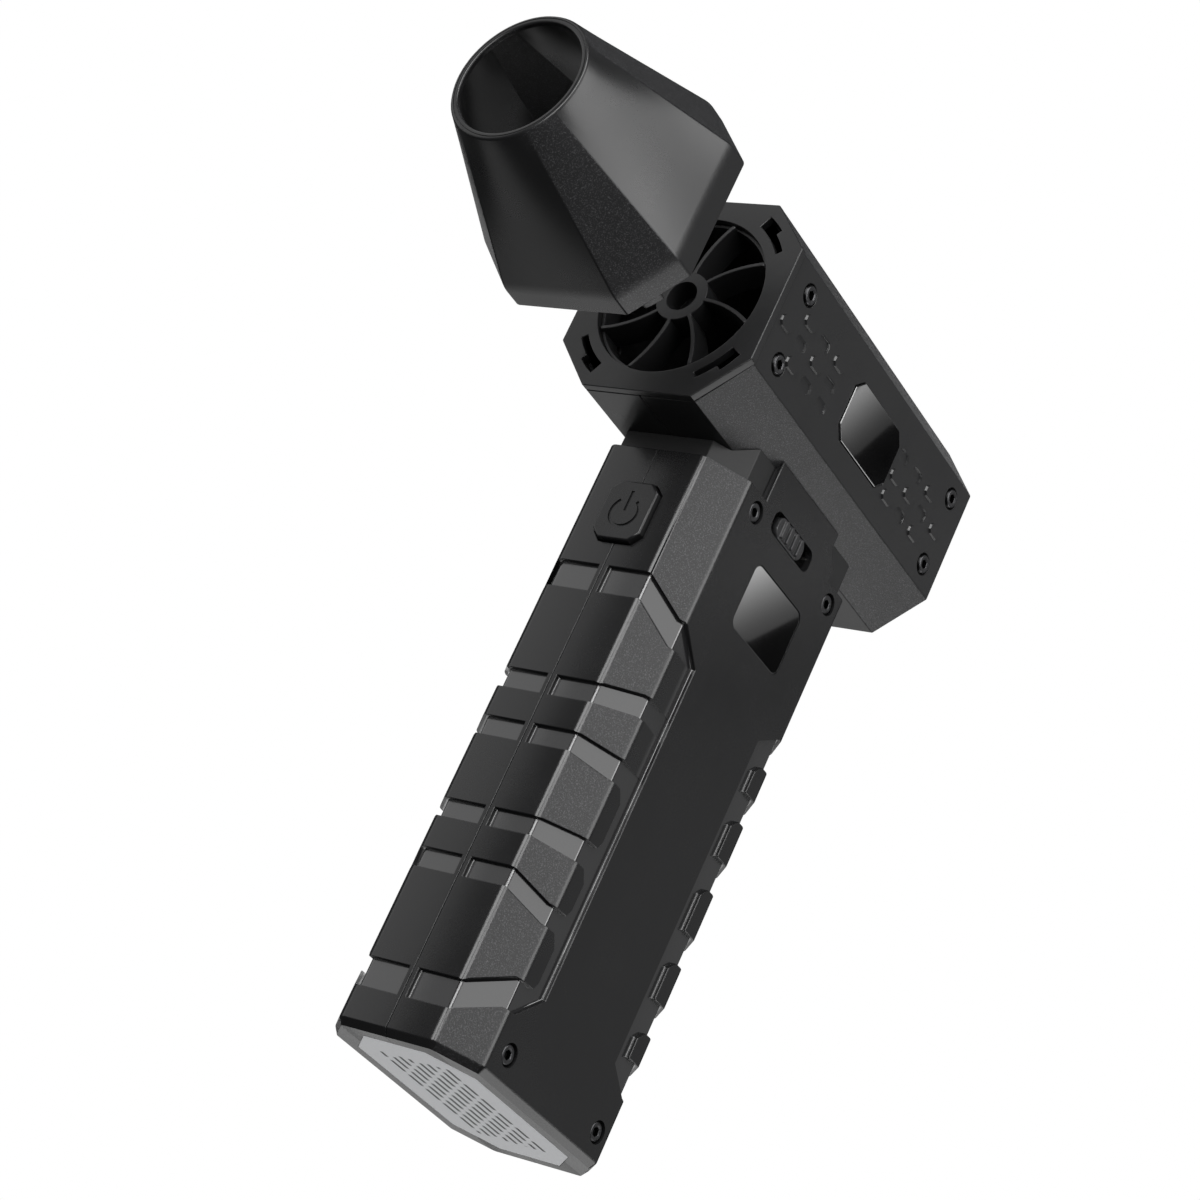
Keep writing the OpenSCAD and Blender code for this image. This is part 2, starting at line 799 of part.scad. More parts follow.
module cell_tray() {
    color([0.3, 0.3, 0.3])
        cell_frame(cell_z - tray_t, cell_z + tray_lip, cell_z - 0.05, cell_z + cell_l);
}

module cell_cap() {
    top = cell_z + cell_l;
    color([0.3, 0.3, 0.3])
        cell_frame(top - tray_lip, top + tray_t, cell_z, top + 0.05);
}

// Nickel strips that join the cell ends, inside the openings of the tray and the cap
module cell_links() {
    top = cell_z + cell_l + 0.05;
    color([0.8, 0.8, 0.78]) for (y = [-1, 0, 1], z = [top, cell_z - 0.05 - link_t])
        translate([cell_x, y * cell_pitch, z]) cylinder(r = cell_r - 3.3, h = link_t);
}

module charge_board() {
    color([0.06, 0.25, 0.12])
        box(-9, 6, 12, half_d - handle_wall - 0.6, socket_z - 1.75 - board_t, socket_z - 1.75);
}

module charge_socket() {
    y0 = half_d - handle_wall - 5.4;
    color([0.72, 0.72, 0.74]) difference() {
        front_plate(y0, half_d - 0.7, 0, socket_z) rounded_outline(8.94, 3.26, 1.6);
        front_plate(y0 + 0.8, half_d + 1, 0, socket_z) rounded_outline(8.34, 2.56, 1.25);
    }
    color([0.1, 0.1, 0.1]) front_plate(y0 + 0.7, half_d - 1.8, 0, socket_z)
        square([6.6, 0.7], center = true);
}

module power_button() {
    y0 = -half_d - button_out;
    y1 = -half_d + handle_wall;
    color([0.09, 0.09, 0.095]) union() {
        front_plate(y0, y1 + 1.2, 0, button_z) button_outline();
        front_plate(y1 + 0.1, y1 + 1.2, 0, button_z) button_outline(1.2);
        front_plate(y1 + 1, y1 + 2.2, 0, button_z) circle(1.8);
    }
}

plunger_y = -half_d + handle_wall + 2.25;
switch_y = plunger_y + 1.4;

module switch_plunger() {
    color([0.75, 0.72, 0.62])
        front_plate(plunger_y, switch_y + 1.6, 0, button_z) circle(1.6);
}

module button_switch() {
    color([0.12, 0.12, 0.12]) difference() {
        front_plate(switch_y, switch_y + 3.2, 0, button_z) square([6.2, 6.2], center = true);
        front_plate(switch_y - 1, switch_y + 1.7 + button_travel, 0, button_z)
            circle(1.6 + running_gap + 0.04);
    }
}

module button_board() {
    y = switch_y + 3.25;
    color([0.06, 0.25, 0.12]) box(-8, 8, y, y + board_t, button_z - 10, button_z + 10);
}

// Ribbed thumb knob with a stem into the switch behind it
module speed_slider() {
    y = slot_y + knob_rest;
    h = slot_h - 2 * slide_gap;
    x0 = half_w - 1.6;
    color([0.14, 0.14, 0.145]) union() {
        side_plate(x0, half_w + 0.2, y, slot_z) rounded_outline(knob_l, h, slot_round);
        for (i = [-1.5:1:1.5])
            side_plate(half_w, half_w + 0.9, y + i * 2.5, slot_z) rounded_outline(1.1, h - 0.6, 0.5);
        box(x0 - 3.4, x0 + eps, y - 1.5, y + 1.5, slot_z - 1, slot_z + 1);
    }
}

module slider_switch() {
    x1 = half_w - 5.25;
    x0 = x1 - 3.4;
    color([0.66, 0.66, 0.68]) difference() {
        box(x0, x1, slot_y - 8.5, slot_y + 8.5, slot_z - 3, slot_z + 3);
        box(x1 - 1.5, x1 + 1, slot_y - 6.6, slot_y + 6.6, slot_z - 1.3, slot_z + 1.3);
    }
}

module display_module() {
    color([0.05, 0.05, 0.06]) box(board_x + 0.05, half_w - handle_wall - 0.3,
        display_y - display_w / 2 + 2.5, display_y + display_w / 2 - 2.5,
        display_z - display_h / 2 + 2.5, display_z + display_h / 2 - 2.5);
}

module display_lens() {
    color([0.02, 0.02, 0.025]) side_plate(half_w - 1.25, half_w - 0.1, display_y, display_z)
        rounded_outline(display_w, display_h, 2.3);
}

// Socket-head screw along -X: the head's outer face is at x
module cap_screw(x, y, z, l, head_l) {
    difference() {
        union() {
            cross_cylinder(x - head_l, x, y, z, screw_head_r);
            cross_cylinder(x - l, x - head_l + eps, y, z, screw_r);
        }
        translate([x - 1.1, y, z]) rotate([0, 90, 0]) cylinder(r = 1.15, h = 2, $fn = 6);
    }
}

module handle_screws() {
    color([0.15, 0.15, 0.15]) for (s = handle_screw_at)
        cap_screw(half_w - 0.35, s[0], s[1], handle_screw_l, screw_head_l);
}

module head_screws() {
    color([0.15, 0.15, 0.15]) for (s = head_screw_at, side = [-1, 1])
        mirror([side < 0 ? 1 : 0, 0, 0])
            cap_screw(half_head - 0.1, s[0], head_z + s[1], 5, 1.35);
}

// A straight wire of radius r between two points
module wire(a, b, r) {
    d = b - a;
    translate(a) rotate([0, acos(d[2] / norm(d)), atan2(d[1], d[0])])
        cylinder(r = r, h = norm(d), $fn = 24);
}

// Three phase wires from the board up through the neck to the motor
module motor_leads() {
    color([0.75, 0.1, 0.08]) for (i = [-1:1]) {
        y = lead_y + 1.1 * i;
        wire([lead_x, y, board_z0 + 40], [lead_x, y, head_z - motor_r + 2.6], lead_r);
    }
}

// Two supply wires from the cells to the board
module battery_leads() {
    z0 = cell_z + cell_l + tray_t;
    color([0.1, 0.1, 0.1]) for (y = [-4, 4])
        wire([board_x - board_t - 1.2, y, z0 - 2], [board_x - board_t - 1.2, y, board_z0 + 5], 0.8);
}

// Points of a ring, share s of the way from an octagon to a circle
steps = 7;
function ring_point(k, j, s, a, c, r) =
    let (p = octagon(a, a, c, c), u = p[k], v = p[(k + 1) % 8], f = j / steps,
        q = u + f * (v - u), g = atan2(u[1], u[0]), h = atan2(v[1], v[0]),
        turn = h < g - 180 ? h + 360 : h, w = g + f * (turn - g))
    q + s * ([r * cos(w), r * sin(w)] - q);
function ring(s, a, c, r, z) = [for (k = [0:7], j = [0:steps - 1])
    let (p = ring_point(k, j, s, a, c, r)) [p[0], p[1], z]];

// Octagonal collar from z0 to z1 that goes on to turn into a circle at z2
module octagon_to_circle(a, c, r, z0, z1, z2) {
    n = 8 * steps;
    blends = 3;
    rings = concat([ring(0, a, c, r, z0)],
        [for (i = [0:blends]) ring(i / blends, a, c, r, z1 + (z2 - z1) * i / blends)]);
    last = len(rings) - 1;
    sides = [for (i = [0:last - 1], j = [0:n - 1]) each
        [[i * n + j, (i + 1) * n + j, (i + 1) * n + (j + 1) % n],
            [i * n + j, (i + 1) * n + (j + 1) % n, i * n + (j + 1) % n]]];
    low = (last + 1) * n;
    ends = [for (j = [0:n - 1]) each
        [[low, j, (j + 1) % n], [low + 1, last * n + (j + 1) % n, last * n + j]]];
    polyhedron(concat([for (r = rings) each r], [[0, 0, z0], [0, 0, z2]]), concat(sides, ends));
}

module nozzle() {
    inner = half_head - nozzle_wall;
    inner_cut = head_cut - nozzle_wall * 0.586;
    bore_r = mouth_r - mouth_wall;
    color([0.10, 0.10, 0.105]) translate([0, nozzle_y, head_z]) rotate([90, 0, 0]) {
        difference() {
            octagon_to_circle(half_head, head_cut, mouth_r, 0, collar_l, nozzle_l);
            octagon_to_circle(inner, inner_cut, bore_r - 0.05, -1, collar_l + 0.4,
                nozzle_l - land_l + 0.2);
            translate([0, 0, nozzle_l - land_l]) cylinder(r = bore_r, h = land_l + 1);
        }
        for (a = [45:90:315]) rotate(a) nozzle_tongue();
    }
}

// Tongue behind the collar that plugs into a bayonet slot, with a web to the collar wall
module nozzle_tongue() {
    translate([0, 0, -tongue_l]) linear_extrude(tongue_l + 2)
        arc_band(tongue_r0, tongue_r0 + tongue_t, -11, 0);
    web_r = (2 * half_head - head_cut) / sqrt(2) - 0.6;
    linear_extrude(2) arc_band(tongue_r0 + 0.2, web_r, -10.8, -0.2);
}

handle_shell_right();
handle_shell_left();
base_label();
neck_collar();
head_shell_right();
head_shell_left();
front_bezel();
outlet_guide();
duct_tube();
rear_grille();
badge_lens();
motor_mount();
motor_case();
motor_end_cap();
stator_core();
motor_windings();
front_bearing();
rear_bearing();
motor_shaft();
rotor_magnet();
impeller();
spinner();
main_board();
motor_driver();
cell_front();
cell_middle();
cell_rear();
cell_tray();
cell_cap();
cell_links();
charge_board();
charge_socket();
power_button();
button_switch();
switch_plunger();
button_board();
speed_slider();
slider_switch();
display_module();
display_lens();
handle_screws();
head_screws();
motor_leads();
battery_leads();
nozzle();
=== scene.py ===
"""Handheld jet dryer blower: its looks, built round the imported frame.

Everything is in metres in the frame's own axes: +Z up the handle, -Y the outlet, +X the side
with the slider. MM turns a millimetre into a metre.
"""
from math import cos, hypot, pi, radians, sin, tan

import bmesh
import bpy
from mathutils import Euler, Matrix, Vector


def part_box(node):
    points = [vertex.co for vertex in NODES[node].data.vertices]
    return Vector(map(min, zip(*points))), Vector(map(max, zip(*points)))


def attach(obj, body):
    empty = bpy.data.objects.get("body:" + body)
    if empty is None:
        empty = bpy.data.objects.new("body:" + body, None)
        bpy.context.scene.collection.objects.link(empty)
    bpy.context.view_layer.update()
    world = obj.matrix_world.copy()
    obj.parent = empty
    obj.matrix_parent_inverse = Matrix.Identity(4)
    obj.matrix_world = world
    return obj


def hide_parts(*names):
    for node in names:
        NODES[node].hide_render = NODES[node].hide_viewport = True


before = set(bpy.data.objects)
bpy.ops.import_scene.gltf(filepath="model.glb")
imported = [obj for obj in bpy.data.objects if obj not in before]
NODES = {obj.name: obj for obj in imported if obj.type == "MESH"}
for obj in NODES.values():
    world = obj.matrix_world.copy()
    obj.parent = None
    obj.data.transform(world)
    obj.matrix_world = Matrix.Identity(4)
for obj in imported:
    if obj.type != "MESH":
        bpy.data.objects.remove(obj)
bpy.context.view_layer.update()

MM = 0.001


# ---------------------------------------------------------------- main sizes

head_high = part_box("head_shell_right")[1]
HEAD_HALF = head_high.x
HEAD_Z = head_high.z - HEAD_HALF
handle_low, handle_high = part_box("handle_shell_left")
HANDLE_X = -handle_low.x
HANDLE_Y = handle_high.y
HANDLE_TOP = handle_high.z

HEAD_CUT = 10.7 * MM  # the head's corner facets, measured along each side
CORNER_X = 7.5 * MM  # the handle's corner facets, across and along the handle
CORNER_Y = 9 * MM
SKIN = 1.6 * MM  # a casing's outer edges and groove floors lie no deeper than this
CROWN = 6.5  # how fast the handle's front and back fall away from their middle, per metre
MARK_RISE = 0.48 * MM  # how far the head's marks stand proud
TIGHTER_CUT = 0.586  # how much an octagon's corner cut shrinks as its sides move in by one
WELD = 0.002 * MM  # points closer than this are one


# ---------------------------------------------------------------- nodes and finishes

class Wire:
    """One output of a node, which plain arithmetic can work on."""

    def __init__(self, nodes, socket):
        self.nodes = nodes
        self.socket = socket

    def _math(self, operation, first, second=0.0):
        return self.nodes.add("ShaderNodeMath", {"operation": operation}, {0: first, 1: second})

    def __add__(self, other):
        return self._math("ADD", self, other)

    def __sub__(self, other):
        return self._math("SUBTRACT", self, other)

    def __rsub__(self, other):
        return self._math("SUBTRACT", other, self)

    def __mul__(self, other):
        return self._math("MULTIPLY", self, other)

    def __truediv__(self, other):
        return self._math("DIVIDE", self, other)

    def __rtruediv__(self, other):
        return self._math("DIVIDE", other, self)

    def __abs__(self):
        return self._math("ABSOLUTE", self)

    def least(self, other):
        """The smaller of the two."""
        return self._math("MINIMUM", self, other)

    def over(self, level, soft):
        """0 below level, 1 above it, blended over soft."""
        return self.nodes.add("ShaderNodeMapRange", {"interpolation_type": "SMOOTHSTEP"},
                              {0: self, 1: level - soft, 2: level + soft, 3: 0.0, 4: 1.0})

    def share(self):
        """The place inside each whole step."""
        return self._math("FRACT", self)

    def whole(self):
        """The number of whole steps."""
        return self._math("FLOOR", self)

    __radd__ = __add__
    __rmul__ = __mul__


class Nodes:
    """A node tree, whose nodes are added by one method."""

    def __init__(self, tree):
        self.tree = tree

    def node(self, kind, settings=None, sockets=None):
        """A new node: its settings first, then the values or links of its sockets."""
        node = self.tree.nodes.new(kind)
        for key, value in (settings or {}).items():
            setattr(node, key, value)
        for key, value in (sockets or {}).items():
            self.plug(node.inputs[key], value)
        return node

    def add(self, kind, settings=None, sockets=None, output=0):
        """One output of a new node."""
        return Wire(self, self.node(kind, settings, sockets).outputs[output])

    def plug(self, socket, value):
        """Gives a socket a link or a plain value."""
        if isinstance(value, Wire):
            self.tree.links.new(value.socket, socket)
        else:
            socket.default_value = value


class Finish(Nodes):
    """A material with one Principled shader. constants are set on the shader's own sockets."""

    def __init__(self, name, **constants):
        self.material = bpy.data.materials.new(name)
        self.material.use_nodes = True
        super().__init__(self.material.node_tree)
        self.shader = self.tree.nodes["Principled BSDF"]
        for socket, value in constants.items():
            self.plug(self.shader.inputs[socket.replace("_", " ")], value)

    def feed(self, name, value):
        """Links or sets one of the shader's sockets."""
        self.plug(self.shader.inputs[name], value)

    def place(self):
        """The place on the object, in metres."""
        return self.add("ShaderNodeTexCoord", output="Object")

    def parts(self, vector):
        """The three parts of a vector."""
        node = self.node("ShaderNodeSeparateXYZ", {}, {0: vector})
        return [Wire(self, out) for out in node.outputs]

    def facing(self):
        """How far the surface faces each of the frame's axes."""
        return [abs(part) for part in self.parts(self.add("ShaderNodeTexCoord", output="Normal"))]

    def speckle(self, size, detail=2.0, rough=0.5):
        """Noise whose grains are size metres across."""
        return self.add("ShaderNodeTexNoise", {},
                        {"Vector": self.place(), "Scale": 1 / size, "Detail": detail,
                         "Roughness": rough})

    def blend(self, share, first, second):
        """A colour between two colours."""
        ends = [(*end, 1.0) if isinstance(end, tuple) else end for end in (first, second)]
        return self.add("ShaderNodeMix", {"data_type": "RGBA"}, {0: share, 6: ends[0], 7: ends[1]},
                        output=2)

    def relief(self, height, depth, strength=1.0):
        """Feeds the surface's normal with height, in shares of depth metres."""
        bump = self.add("ShaderNodeBump", {}, {"Strength": strength, "Distance": depth,
                                               "Height": height})
        self.feed("Normal", bump)


def grey(level, cool=1.04):
    """A neutral colour, a little bluer where cool is above 1."""
    return (level, level, level * cool)


def moulded(name, tone, rough, grain=0.22 * MM, blasted=None, blast=0.050 * MM, shaped=None):
    """Black moulded plastic: satin, with a fine grain.

    blasted picks the sandblasted facets from how the surface faces; their brightest grains are
    painted glints. shaped gives the share of a place that has a polish, painted lighter as sheen,
    and a slow rise and fall that the tool leaves in the broad faces.
    """
    finish = Finish(name, IOR=1.5, Specular_IOR_Level=0.5, Coat_IOR=1.7, Coat_Roughness=0.12)
    cloud = finish.speckle(14 * MM, 3.0)
    fine = finish.speckle(grain, 2.0, 0.6)
    base = finish.blend(cloud, grey(tone * 0.86), grey(tone * 1.16))
    roughness = cloud * 0.10 + fine * 0.06 + (rough - 0.08)
    height = fine * 0.25
    polished_and_sheen, crown = shaped(finish) if shaped else (None, None)
    if blasted:
        sand_and_glints = finish.speckle(0.30 * MM, 3.0, 0.75)
        mask = blasted(*finish.facing())
        if polished_and_sheen:
            mask = mask * (1 - polished_and_sheen)
        base = finish.blend(mask, base, grey(tone * 1.5))
        # painted glints: the brightest grains of the blasted facets are painted seven times
        # lighter, as sparkle; their bump is real grain
        base = finish.blend(sand_and_glints.over(0.58, 0.05) * mask, base, grey(tone * 7))
        roughness = roughness + mask * 0.07
        height = height + sand_and_glints * mask
    if polished_and_sheen:
        # painted sheen: the floors with a polish are painted lighter, for the gloss they catch;
        # their lower roughness and coat are real
        base = finish.blend(polished_and_sheen, base, grey(tone * 1.6))
        roughness = roughness - polished_and_sheen * 0.12
        finish.feed("Coat Weight", polished_and_sheen * 0.75)
    height = height * blast
    if crown:
        height = height + crown
    finish.feed("Base Color", base)
    finish.feed("Roughness", roughness)
    finish.relief(height, 1.0)
    return finish.material


def handle_form(finish):
    """Groove floors with a polish, which moulded paints lighter as sheen, and the crown of the
    front and back faces.
    """
    x, y, z = finish.parts(finish.place())
    across, along = abs(x), abs(y)
    slant = (across - (HANDLE_X - CORNER_X)) * CORNER_Y + (along - (HANDLE_Y - CORNER_Y)) * CORNER_X
    slant = (CORNER_X * CORNER_Y - slant) / hypot(CORNER_X, CORNER_Y)
    depth = (HANDLE_X - across).least(HANDLE_Y - along).least(slant)
    floors = depth.over(0.75 * MM, 0.12 * MM) * (1 - depth.over(SKIN, 0.1 * MM))
    above_foot = z.over(8 * MM, 0.5 * MM)
    bowed = across.least(HANDLE_X - CORNER_X)
    crown = bowed * bowed * -CROWN
    return floors * above_foot, crown


def handle_corners(x, y, z):
    """1 on the handle's long corner facets."""
    return x.over(0.6, 0.08) * y.over(0.5, 0.08)


def head_corners(x, y, z):
    """1 on the head's corner facets."""
    return x.over(0.5, 0.08) * z.over(0.5, 0.08)


def sloping(x, y, z):
    """1 on the nozzle's corner facets."""
    return x.over(0.45, 0.12) * z.over(0.45, 0.12)


def glossy(name, tone):
    """Black acrylic window: a hard clear face over a dark smoked sheet."""
    finish = Finish(name, IOR=1.8, Coat_Weight=1.0, Coat_Roughness=0.03, Coat_IOR=2.0)
    cloud = finish.speckle(9 * MM, 2.0)
    dust = finish.speckle(0.4 * MM, 2.0)
    finish.feed("Base Color", finish.blend(cloud, grey(tone * 0.6), grey(tone * 1.5)))
    finish.feed("Roughness", cloud * 0.03 + dust * 0.03 + 0.03)
    return finish.material


def foil_label(name):
    """Silver foil label under the foot, with plain printed bars and blocks."""
    finish = Finish(name, Metallic=0.55, IOR=1.5)
    x, y = finish.parts(finish.place())[:2]
    brushed = finish.speckle(0.5 * MM, 3.0)
    rows = x / (2.5 * MM)
    row = rows.share()
    column = (rows.whole() * 0.37 + y / (7.3 * MM)).share()
    bars = row.over(0.34, 0.03) * (1 - row.over(0.68, 0.03)) * column.over(0.22, 0.02)
    inside = (1 - abs(x).over(9.4 * MM, 0.1 * MM)) * (1 - abs(y).over(21 * MM, 0.1 * MM))
    ink = bars * inside
    foil = finish.blend(brushed, (0.72, 0.73, 0.75), (0.90, 0.91, 0.93))
    finish.feed("Base Color", finish.blend(ink, foil, (0.03, 0.03, 0.035)))
    finish.feed("Roughness", brushed * 0.12 + 0.26 + ink * 0.2)
    finish.relief(brushed, 0.01 * MM, 0.4)
    return finish.material


def metal(name, colour, rough, ring=0.0, lay=0.25 * MM, worn=0.2):
    """Bare or plated metal with a machined lay. With ring, turned lines run round the fan axis."""
    finish = Finish(name, Metallic=1.0)
    haze = finish.speckle(3 * MM, 3.0)
    lines = finish.speckle(lay, 2.0)
    if ring:
        y = finish.parts(finish.place())[1]
        lines = lines * 0.4 + (y / ring).share() * 0.6
    darker = tuple(part * (1 - worn) for part in colour)
    finish.feed("Base Color", finish.blend(haze, darker, colour))
    finish.feed("Roughness", haze * 0.14 + lines * 0.10 + (rough - 0.1))
    finish.relief(lines, 0.008 * MM, 0.5)
    return finish.material


def black_oxide_painted_shade(name):
    """Blackened screw steel in its oxide colour on the outer faces, with painted shade below them,
    down in the screw holes.
    """
    finish = Finish(name, Metallic=0.85)
    haze = finish.speckle(0.9 * MM, 3.0)
    fine = finish.speckle(0.15 * MM, 2.0)
    across = abs(finish.parts(finish.place())[0])
    on_head = across.over(HEAD_HALF - 0.32 * MM, 0.08 * MM)
    on_handle = across.over(HANDLE_X - 0.57 * MM, 0.08 * MM)
    face = on_head + on_handle * (1 - across.over(HANDLE_X + 0.5 * MM, 0.1 * MM))
    oxide = finish.blend(haze, grey(0.035), grey(0.11))
    # painted shade: below the outer faces the screws are painted near black, as the shade in their
    # holes
    finish.feed("Base Color", finish.blend(face, grey(0.006), oxide))
    finish.feed("Roughness", haze * 0.18 + 0.22)
    finish.relief(fine, 0.006 * MM, 0.5)
    return finish.material


def wound_copper(name):
    """Enamelled wire: turns side by side, seen as fine ridges."""
    finish = Finish(name, Metallic=0.9, Coat_Weight=0.5, Coat_Roughness=0.12)
    y = finish.parts(finish.place())[1]
    turns = abs((y / (0.32 * MM)).share() - 0.5)
    haze = finish.speckle(1.2 * MM, 2.0)
    finish.feed("Base Color", finish.blend(haze, (0.42, 0.17, 0.06), (0.75, 0.36, 0.15)))
    finish.feed("Roughness", haze * 0.1 + 0.24)
    finish.relief(turns, 0.12 * MM)
    return finish.material


def circuit_board(name):
    """Solder mask with faint tracks under it and pads in rows."""
    finish = Finish(name, IOR=1.5, Coat_Weight=0.4, Coat_Roughness=0.15)
    y, z = finish.parts(finish.place())[1:]
    track = abs((y / (1.27 * MM)).share() - 0.5).over(0.36, 0.03)
    cross = abs((z / (2.54 * MM)).share() - 0.5).over(0.40, 0.02)
    patch = finish.speckle(5 * MM, 1.0).over(0.5, 0.03)
    copper = track * patch + cross * (1 - patch) * 0.8
    pads = track * cross
    mask = finish.blend(copper, (0.012, 0.085, 0.035), (0.022, 0.14, 0.055))
    finish.feed("Base Color", finish.blend(pads, mask, (0.68, 0.66, 0.6)))
    finish.feed("Metallic", pads * 0.9)
    finish.feed("Roughness", 0.38 - pads * 0.12)
    finish.relief(copper, 0.03 * MM)
    return finish.material


def shrink_wrap(name):
    """Blue PVC sleeve of a cell, with shrink lines round it."""
    finish = Finish(name, IOR=1.52, Coat_Weight=0.6, Coat_Roughness=0.08)
    drawn_out = finish.add("ShaderNodeMapping", {}, {"Vector": finish.place(),
                                                     "Scale": (0.25, 0.25, 3.0)})
    lines = finish.add("ShaderNodeTexNoise", {}, {"Vector": drawn_out, "Scale": 260.0,
                                                  "Detail": 3.0})
    cloud = finish.speckle(12 * MM, 2.0)
    finish.feed("Base Color", finish.blend(cloud, (0.03, 0.11, 0.27), (0.05, 0.17, 0.38)))
    finish.feed("Roughness", lines * 0.15 + 0.2)
    finish.relief(lines, 0.05 * MM)
    return finish.material


def lead_skin(name, colour):
    """Silicone insulation of a wire."""
    finish = Finish(name, IOR=1.45)
    haze = finish.speckle(0.8 * MM, 3.0)
    darker = tuple(part * 0.7 for part in colour)
    finish.feed("Base Color", finish.blend(haze, darker, colour))
    finish.feed("Roughness", haze * 0.15 + 0.42)
    finish.relief(haze, 0.02 * MM)
    return finish.material


HANDLE_SATIN = moulded("handle_satin", 0.009, 0.26, blasted=handle_corners, shaped=handle_form)
HEAD_SATIN = moulded("head_satin", 0.012, 0.30, blasted=head_corners)
NOZZLE_SATIN = moulded("nozzle_satin", 0.010, 0.29, blasted=sloping, blast=0.022 * MM)
BEZEL_SATIN = moulded("bezel_satin", 0.012, 0.32)
NECK_MATT = moulded("neck_matt", 0.008, 0.55)
GUIDE_SATIN = moulded("guide_satin", 0.020, 0.42)
DUCT_MATT = moulded("duct_matt", 0.006, 0.60)
FAN_NYLON = moulded("fan_nylon", 0.030, 0.40)
BUTTON_SATIN = moulded("button_satin", 0.009, 0.28)
KNOB_SATIN = moulded("knob_satin", 0.024, 0.28)
FRAME_GREY = moulded("frame_grey", 0.16, 0.5)
CHIP_EPOXY = moulded("chip_epoxy", 0.018, 0.45)
WINDOW_GLOSS = glossy("window_gloss", 0.004)
LABEL_FOIL = foil_label("label_foil")
SCREW_OXIDE_PAINTED_SHADE = black_oxide_painted_shade("screw_oxide_painted_shade")
MOTOR_ALUMINIUM = metal("motor_aluminium", (0.62, 0.63, 0.65), 0.30, ring=0.4 * MM)
LAMINATION_STEEL = metal("lamination_steel", (0.36, 0.36, 0.38), 0.42, ring=0.35 * MM)
BEARING_STEEL = metal("bearing_steel", (0.70, 0.70, 0.72), 0.20)
MAGNET_NICKEL = metal("magnet_nickel", (0.44, 0.44, 0.46), 0.32)
STRIP_NICKEL = metal("strip_nickel", (0.72, 0.71, 0.67), 0.30)
WINDING_COPPER = wound_copper("winding_copper")
BOARD_MASK = circuit_board("board_mask")
CELL_WRAP = shrink_wrap("cell_wrap")
LEAD_RED = lead_skin("lead_red", (0.42, 0.03, 0.02))
LEAD_BLACK = lead_skin("lead_black", (0.03, 0.03, 0.032))


# ---------------------------------------------------------------- shaping

def in_scene(name, data):
    """An object of the scene that shows data."""
    made = bpy.data.objects.new(name, data)
    bpy.context.scene.collection.objects.link(made)
    return made


def as_mesh(name, form):
    """A bmesh as a mesh. The bmesh is freed."""
    mesh = bpy.data.meshes.new(name)
    form.to_mesh(mesh)
    form.free()
    return mesh


def piece(name, form, finish, body, stands_for, smooth=32):
    """Turns a bmesh into a finished piece that rides on a body and replaces a CAD node."""
    mesh = as_mesh(name, form)
    mesh.shade_smooth()
    mesh.set_sharp_from_angle(angle=radians(smooth))
    mesh.materials.append(finish)
    made = in_scene(name, mesh)
    made.modifiers.new("flat_faces", "WEIGHTED_NORMAL").keep_sharp = True
    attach(made, body)
    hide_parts(stands_for)


def node_copy(node, merge=WELD):
    """A welded copy of a CAD node's mesh, with its flat faces whole."""
    form = bmesh.new()
    form.from_mesh(NODES[node].data)
    bmesh.ops.remove_doubles(form, verts=form.verts, dist=WELD)
    bmesh.ops.dissolve_limit(form, angle_limit=radians(0.5), verts=form.verts, edges=form.edges)
    if merge > WELD:
        bmesh.ops.remove_doubles(form, verts=form.verts, dist=merge)
        bmesh.ops.dissolve_degenerate(form, edges=form.edges, dist=merge / 10)
    return form


def carved(form, cutter):
    """form with cutter taken away."""
    block = in_scene("block", as_mesh("block", form))
    tool = in_scene("tool", as_mesh("tool", cutter))
    cut = block.modifiers.new("cut", "BOOLEAN")
    cut.operation = "DIFFERENCE"
    cut.solver = "EXACT"
    cut.object = tool
    graph = bpy.context.evaluated_depsgraph_get()
    result = bmesh.new()
    result.from_mesh(block.evaluated_get(graph).to_mesh())
    for spent in (block, tool):
        mesh = spent.data
        bpy.data.objects.remove(spent)
        bpy.data.meshes.remove(mesh)
    bmesh.ops.remove_doubles(result, verts=result.verts, dist=0.001 * MM)
    bmesh.ops.dissolve_limit(result, angle_limit=radians(0.5), verts=result.verts,
                             edges=result.edges)
    return result


def round_edges(form, radius, steps=2, least=24, chosen=None, room=0.0):
    """Rounds the edges sharper than least degrees, away from edges shorter than room.

    chosen picks them by their middle point.
    """
    edges = []
    for edge in form.edges:
        if len(edge.link_faces) != 2 or edge.calc_face_angle() < radians(least):
            continue
        near = [other.calc_length() for vert in edge.verts for other in vert.link_edges]
        if min(near) < room:
            continue
        middle = (edge.verts[0].co + edge.verts[1].co) / 2
        if chosen is None or chosen(middle):
            edges.append(edge)
    bmesh.ops.bevel(form, geom=edges, offset=radius, offset_type="OFFSET", segments=steps,
                    profile=0.5, affect="EDGES", clamp_overlap=False, material=-1)
    return form


def moulding(name, node, finish, body, radius, steps=2, merge=WELD, chosen=None,
             room=0.0, split=True):
    """A CAD node's shape with its edges rounded as a mould leaves them.

    split first divides the flat faces that have holes or notches.
    """
    form = node_copy(node, merge)
    if split:
        bmesh.ops.connect_verts_concave(form, faces=form.faces)
    round_edges(form, radius, steps, chosen=chosen, room=room)
    piece(name, form, finish, body, node)


def skin(form, rings, closed=False):
    """Joins rings of points one after another, the last to the first if closed."""
    loops = [[form.verts.new(point) for point in ring] for ring in rings]
    pairs = list(zip(loops, loops[1:]))
    if closed:
        pairs.append((loops[-1], loops[0]))
    for one, two in pairs:
        for k in range(len(one)):
            after = (k + 1) % len(one)
            form.faces.new((one[k], one[after], two[after], two[k]))
    return loops


